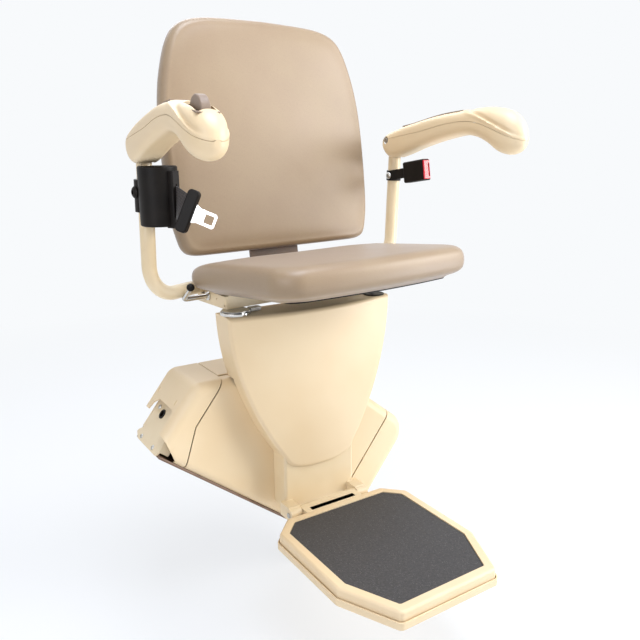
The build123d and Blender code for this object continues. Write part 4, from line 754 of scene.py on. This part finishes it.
belt = {
    "width": 48.0, "thick": 1.4, "post": (-268.0, -140.1), "turn": -70.0, "slotZ": 612.0, "exit": 41.0,
    "grip": (-252.0, -208.0, 596.7), "gripLong": (-0.367, 0.157, -0.917), "gripOut": (0.55, -0.758, -0.35),
    "slotDepth": 12, "gripDepth": 1.5, "sag": 0.9, "steps": 26, "across": 14,
}


def beltWebbing():
    turn = math.radians(belt["turn"])
    outward = Vector((math.cos(turn), math.sin(turn), 0))
    start = Vector((belt["post"][0], belt["post"][1], belt["slotZ"]))
    gripOut, gripLong = Vector(belt["gripOut"]).normalized(), Vector(belt["gripLong"]).normalized()
    ends = ((start + outward * (belt["exit"] - belt["slotDepth"]), outward, Vector((0, 0, 1))),
            (Vector(belt["grip"]) - gripOut * belt["gripDepth"], gripOut, -gripLong))
    reach = (ends[1][0] - ends[0][0]).length
    count, rings, length = belt["across"], [], 0.0
    before = None
    for step in range(belt["steps"] + 1):
        t = step / belt["steps"]
        (a, da, wa), (b, db, wb) = ends
        p = (a * (2 * t ** 3 - 3 * t ** 2 + 1) + da * reach * (t ** 3 - 2 * t ** 2 + t)
             + b * (3 * t ** 2 - 2 * t ** 3) + db * reach * (t ** 3 - t ** 2))
        ease = 3 * t ** 2 - 2 * t ** 3
        wide = wa.lerp(wb, ease).normalized()
        along = (da.lerp(db, ease)).normalized()
        face = wide.cross(along).normalized()
        length += (p - before).length if before else 0.0
        before = p
        ring = []
        for layer in (1, -1):
            for i in range(count + 1):
                share = (i / count if layer > 0 else 1 - i / count) - 0.5
                sag = belt["sag"] * math.sin(math.pi * t) * math.cos(math.pi * share)
                lift = layer * belt["thick"] / 2 + sag
                ring.append(tuple(p + wide * belt["width"] * share + face * lift))
        rings.append(ring)
    points, faces = joinRings(rings)
    piece = meshPiece("beltWebbing", points, faces, finishes["webbing"], onSeat)
    layer = piece.data.uv_layers.new(name="strip")
    ringSize = 2 * (count + 1)
    for loop in piece.data.loops:
        row, column = divmod(loop.vertex_index, ringSize)
        across = column if column <= count else ringSize - 1 - column
        layer.data[loop.index].uv = (across / count * belt["width"] * mm, row / belt["steps"] * length * mm)
    piece.data.set_sharp_from_angle(angle=math.radians(50))
    return settle(piece, "seat", "webbing", "belt_webbing")


beltWebbing()
print("webbing made")


# ---- everything else keeps the frame's form

edgeWidths = {
    "shield_cover": 0.6, "front_cover": 0.6, "top_cover": 0.6, "end_cover_upper": 0.6,
    "end_cover_lower": 0.6, "footrest_frame": 0.8, "footrest_pan": 0.7, "footrest_mat": 0.6,
    "column": 0.7, "footrest_hinge_plate": 0.7, "seat_base": 0.5, "retractor_case": 0.7,
    "buckle_body": 0.5, "buckle_button": 0.3, "tongue_plate": 0.25, "drive_pinion": 0.15,
    "housing_screws": 0.15, "arm_frame": 0.0,
}
made = {"seat_cushion", "backrest_cushion", "belt_webbing", "arm_left_upper", "arm_left_lower",
        "arm_right_upper", "arm_right_lower", *toggleMoves}
for node in sorted(frame["nodes"]):
    if node not in made:
        dress(node, edgeWidths.get(node, 0.35), material=soleRubber if node == "seat_peg" else None)
print("finished", len(frame["nodes"]) - len(made), "more nodes")


# ---- floor, lights, camera

studio = {
    "floorZ": -168.0, "floorSize": 9000.0, "paper": "#F8FAFC",
    "world": 0.38, "worldTint": "#F6F8FF",
    # place, aim, size, watts, colour
    "lamps": {
        "keyRight": ((2300, -1700, 1500), (0, -150, 400), 1600, 60, "#FFFCF8"),
        "lowRight": ((1500, -1300, 150), (60, -150, 120), 900, 13, "#F4F7FF"),
        "fillLeft": ((-2300, -1500, 1200), (-50, -200, 450), 1800, 24, "#F8F8FF"),
        "overhead": ((50, -800, 2500), (0, -300, 480), 1500, 52, "#E9F0FF"),
        "backTop": ((300, 1700, 2300), (0, -200, 500), 1600, 20, "#F2F6FF"),
    },
}


def seenAsPaper(tree):
    # one for rays from the camera, in reflections and through glass
    rays = addNode(tree, "ShaderNodeLightPath")
    direct = addNode(tree, "ShaderNodeMath", {},
                     {0: rays.outputs["Is Camera Ray"], 1: rays.outputs["Is Glossy Ray"]},
                     operation="MAXIMUM")
    return addNode(tree, "ShaderNodeMath", {},
                   {0: direct.outputs[0], 1: rays.outputs["Is Transmission Ray"]}, operation="MAXIMUM")


def studioFloor():
    # pale paper: white to the camera and in reflections, and it still takes the shadow
    material, tree, shader, place = newSurface("studio paper", **{
        "Roughness": 0.9, "Base Color": linearColour("#F4F6F8")})
    paper = addNode(tree, "ShaderNodeEmission", {"Color": linearColour(studio["paper"])})
    seen = seenAsPaper(tree)
    away = addNode(tree, "ShaderNodeVectorMath", {}, {0: place}, operation="LENGTH")
    fade = addNode(tree, "ShaderNodeMapRange",
                   {"From Min": 0.7, "From Max": 2.4, "To Min": 0.72, "To Max": 1.0},
                   {"Value": away.outputs["Value"]})
    share = addNode(tree, "ShaderNodeMath", {}, {0: seen.outputs[0], 1: fade.outputs["Result"]},
                    operation="MULTIPLY")
    mix = addNode(tree, "ShaderNodeMixShader", {},
                  {0: share.outputs[0], 1: shader.outputs[0], 2: paper.outputs[0]})
    output = [node for node in tree.nodes if node.bl_idname == "ShaderNodeOutputMaterial"][0]
    tree.links.new(mix.outputs[0], output.inputs["Surface"])
    half = studio["floorSize"] / 2
    corners = [(-half, -half, 0), (half, -half, 0), (half, half, 0), (-half, half, 0)]
    floor = meshPiece("studioFloor", corners, [(0, 1, 2, 3)], material)
    floor.location.z = studio["floorZ"] * mm


def studioLights():
    world = bpy.data.worlds.new("studio")
    bpy.context.scene.world = world
    world.use_nodes = True
    tree = world.node_tree
    tree.nodes.clear()
    seen = seenAsPaper(tree)
    room = addNode(tree, "ShaderNodeBackground",
                   {"Color": linearColour(studio["worldTint"]), "Strength": studio["world"]})
    paper = addNode(tree, "ShaderNodeBackground", {"Color": linearColour(studio["paper"]), "Strength": 1.0})
    mix = addNode(tree, "ShaderNodeMixShader", {},
                  {0: seen.outputs[0], 1: room.outputs[0], 2: paper.outputs[0]})
    addNode(tree, "ShaderNodeOutputWorld", links={"Surface": mix.outputs[0]})
    for name, (place, aim, size, watts, colour) in studio["lamps"].items():
        data = bpy.data.lights.new(name, "AREA")
        data.shape, data.size, data.energy = "DISK", size * mm, watts
        data.color = linearColour(colour)[:3]
        lamp = bpy.data.objects.new(name, data)
        lamp.location = Vector(place) * mm
        lamp.rotation_euler = (Vector(place) - Vector(aim)).to_track_quat("Z", "Y").to_euler()
        bpy.context.scene.collection.objects.link(lamp)


camera = {"place": (-653.7, -1230.8, 689.7), "yaw": 32.64, "pitch": 14.19, "roll": -0.6, "lens": 38.12}


def studioCamera():
    yaw, pitch, roll = (math.radians(camera[key]) for key in ("yaw", "pitch", "roll"))
    ahead = Vector((math.sin(yaw) * math.cos(pitch), math.cos(yaw) * math.cos(pitch), -math.sin(pitch)))
    right = Vector((math.cos(yaw), -math.sin(yaw), 0))
    up = right.cross(ahead)
    across = right * math.cos(roll) + up * math.sin(roll)
    upward = up * math.cos(roll) - right * math.sin(roll)
    data = bpy.data.cameras.new("photoView")
    data.lens, data.sensor_width = camera["lens"], 36.0
    data.clip_start, data.clip_end = 0.05, 50.0
    view = bpy.data.objects.new("photoView", data)
    turn = Matrix((across, upward, -ahead)).transposed().to_4x4()
    view.matrix_world = Matrix.Translation(Vector(camera["place"]) * mm) @ turn
    bpy.context.scene.collection.objects.link(view)
    bpy.context.scene.camera = view


studioFloor()
studioLights()
studioCamera()
bpy.context.scene.view_settings.view_transform = "Standard"
print("studio set")
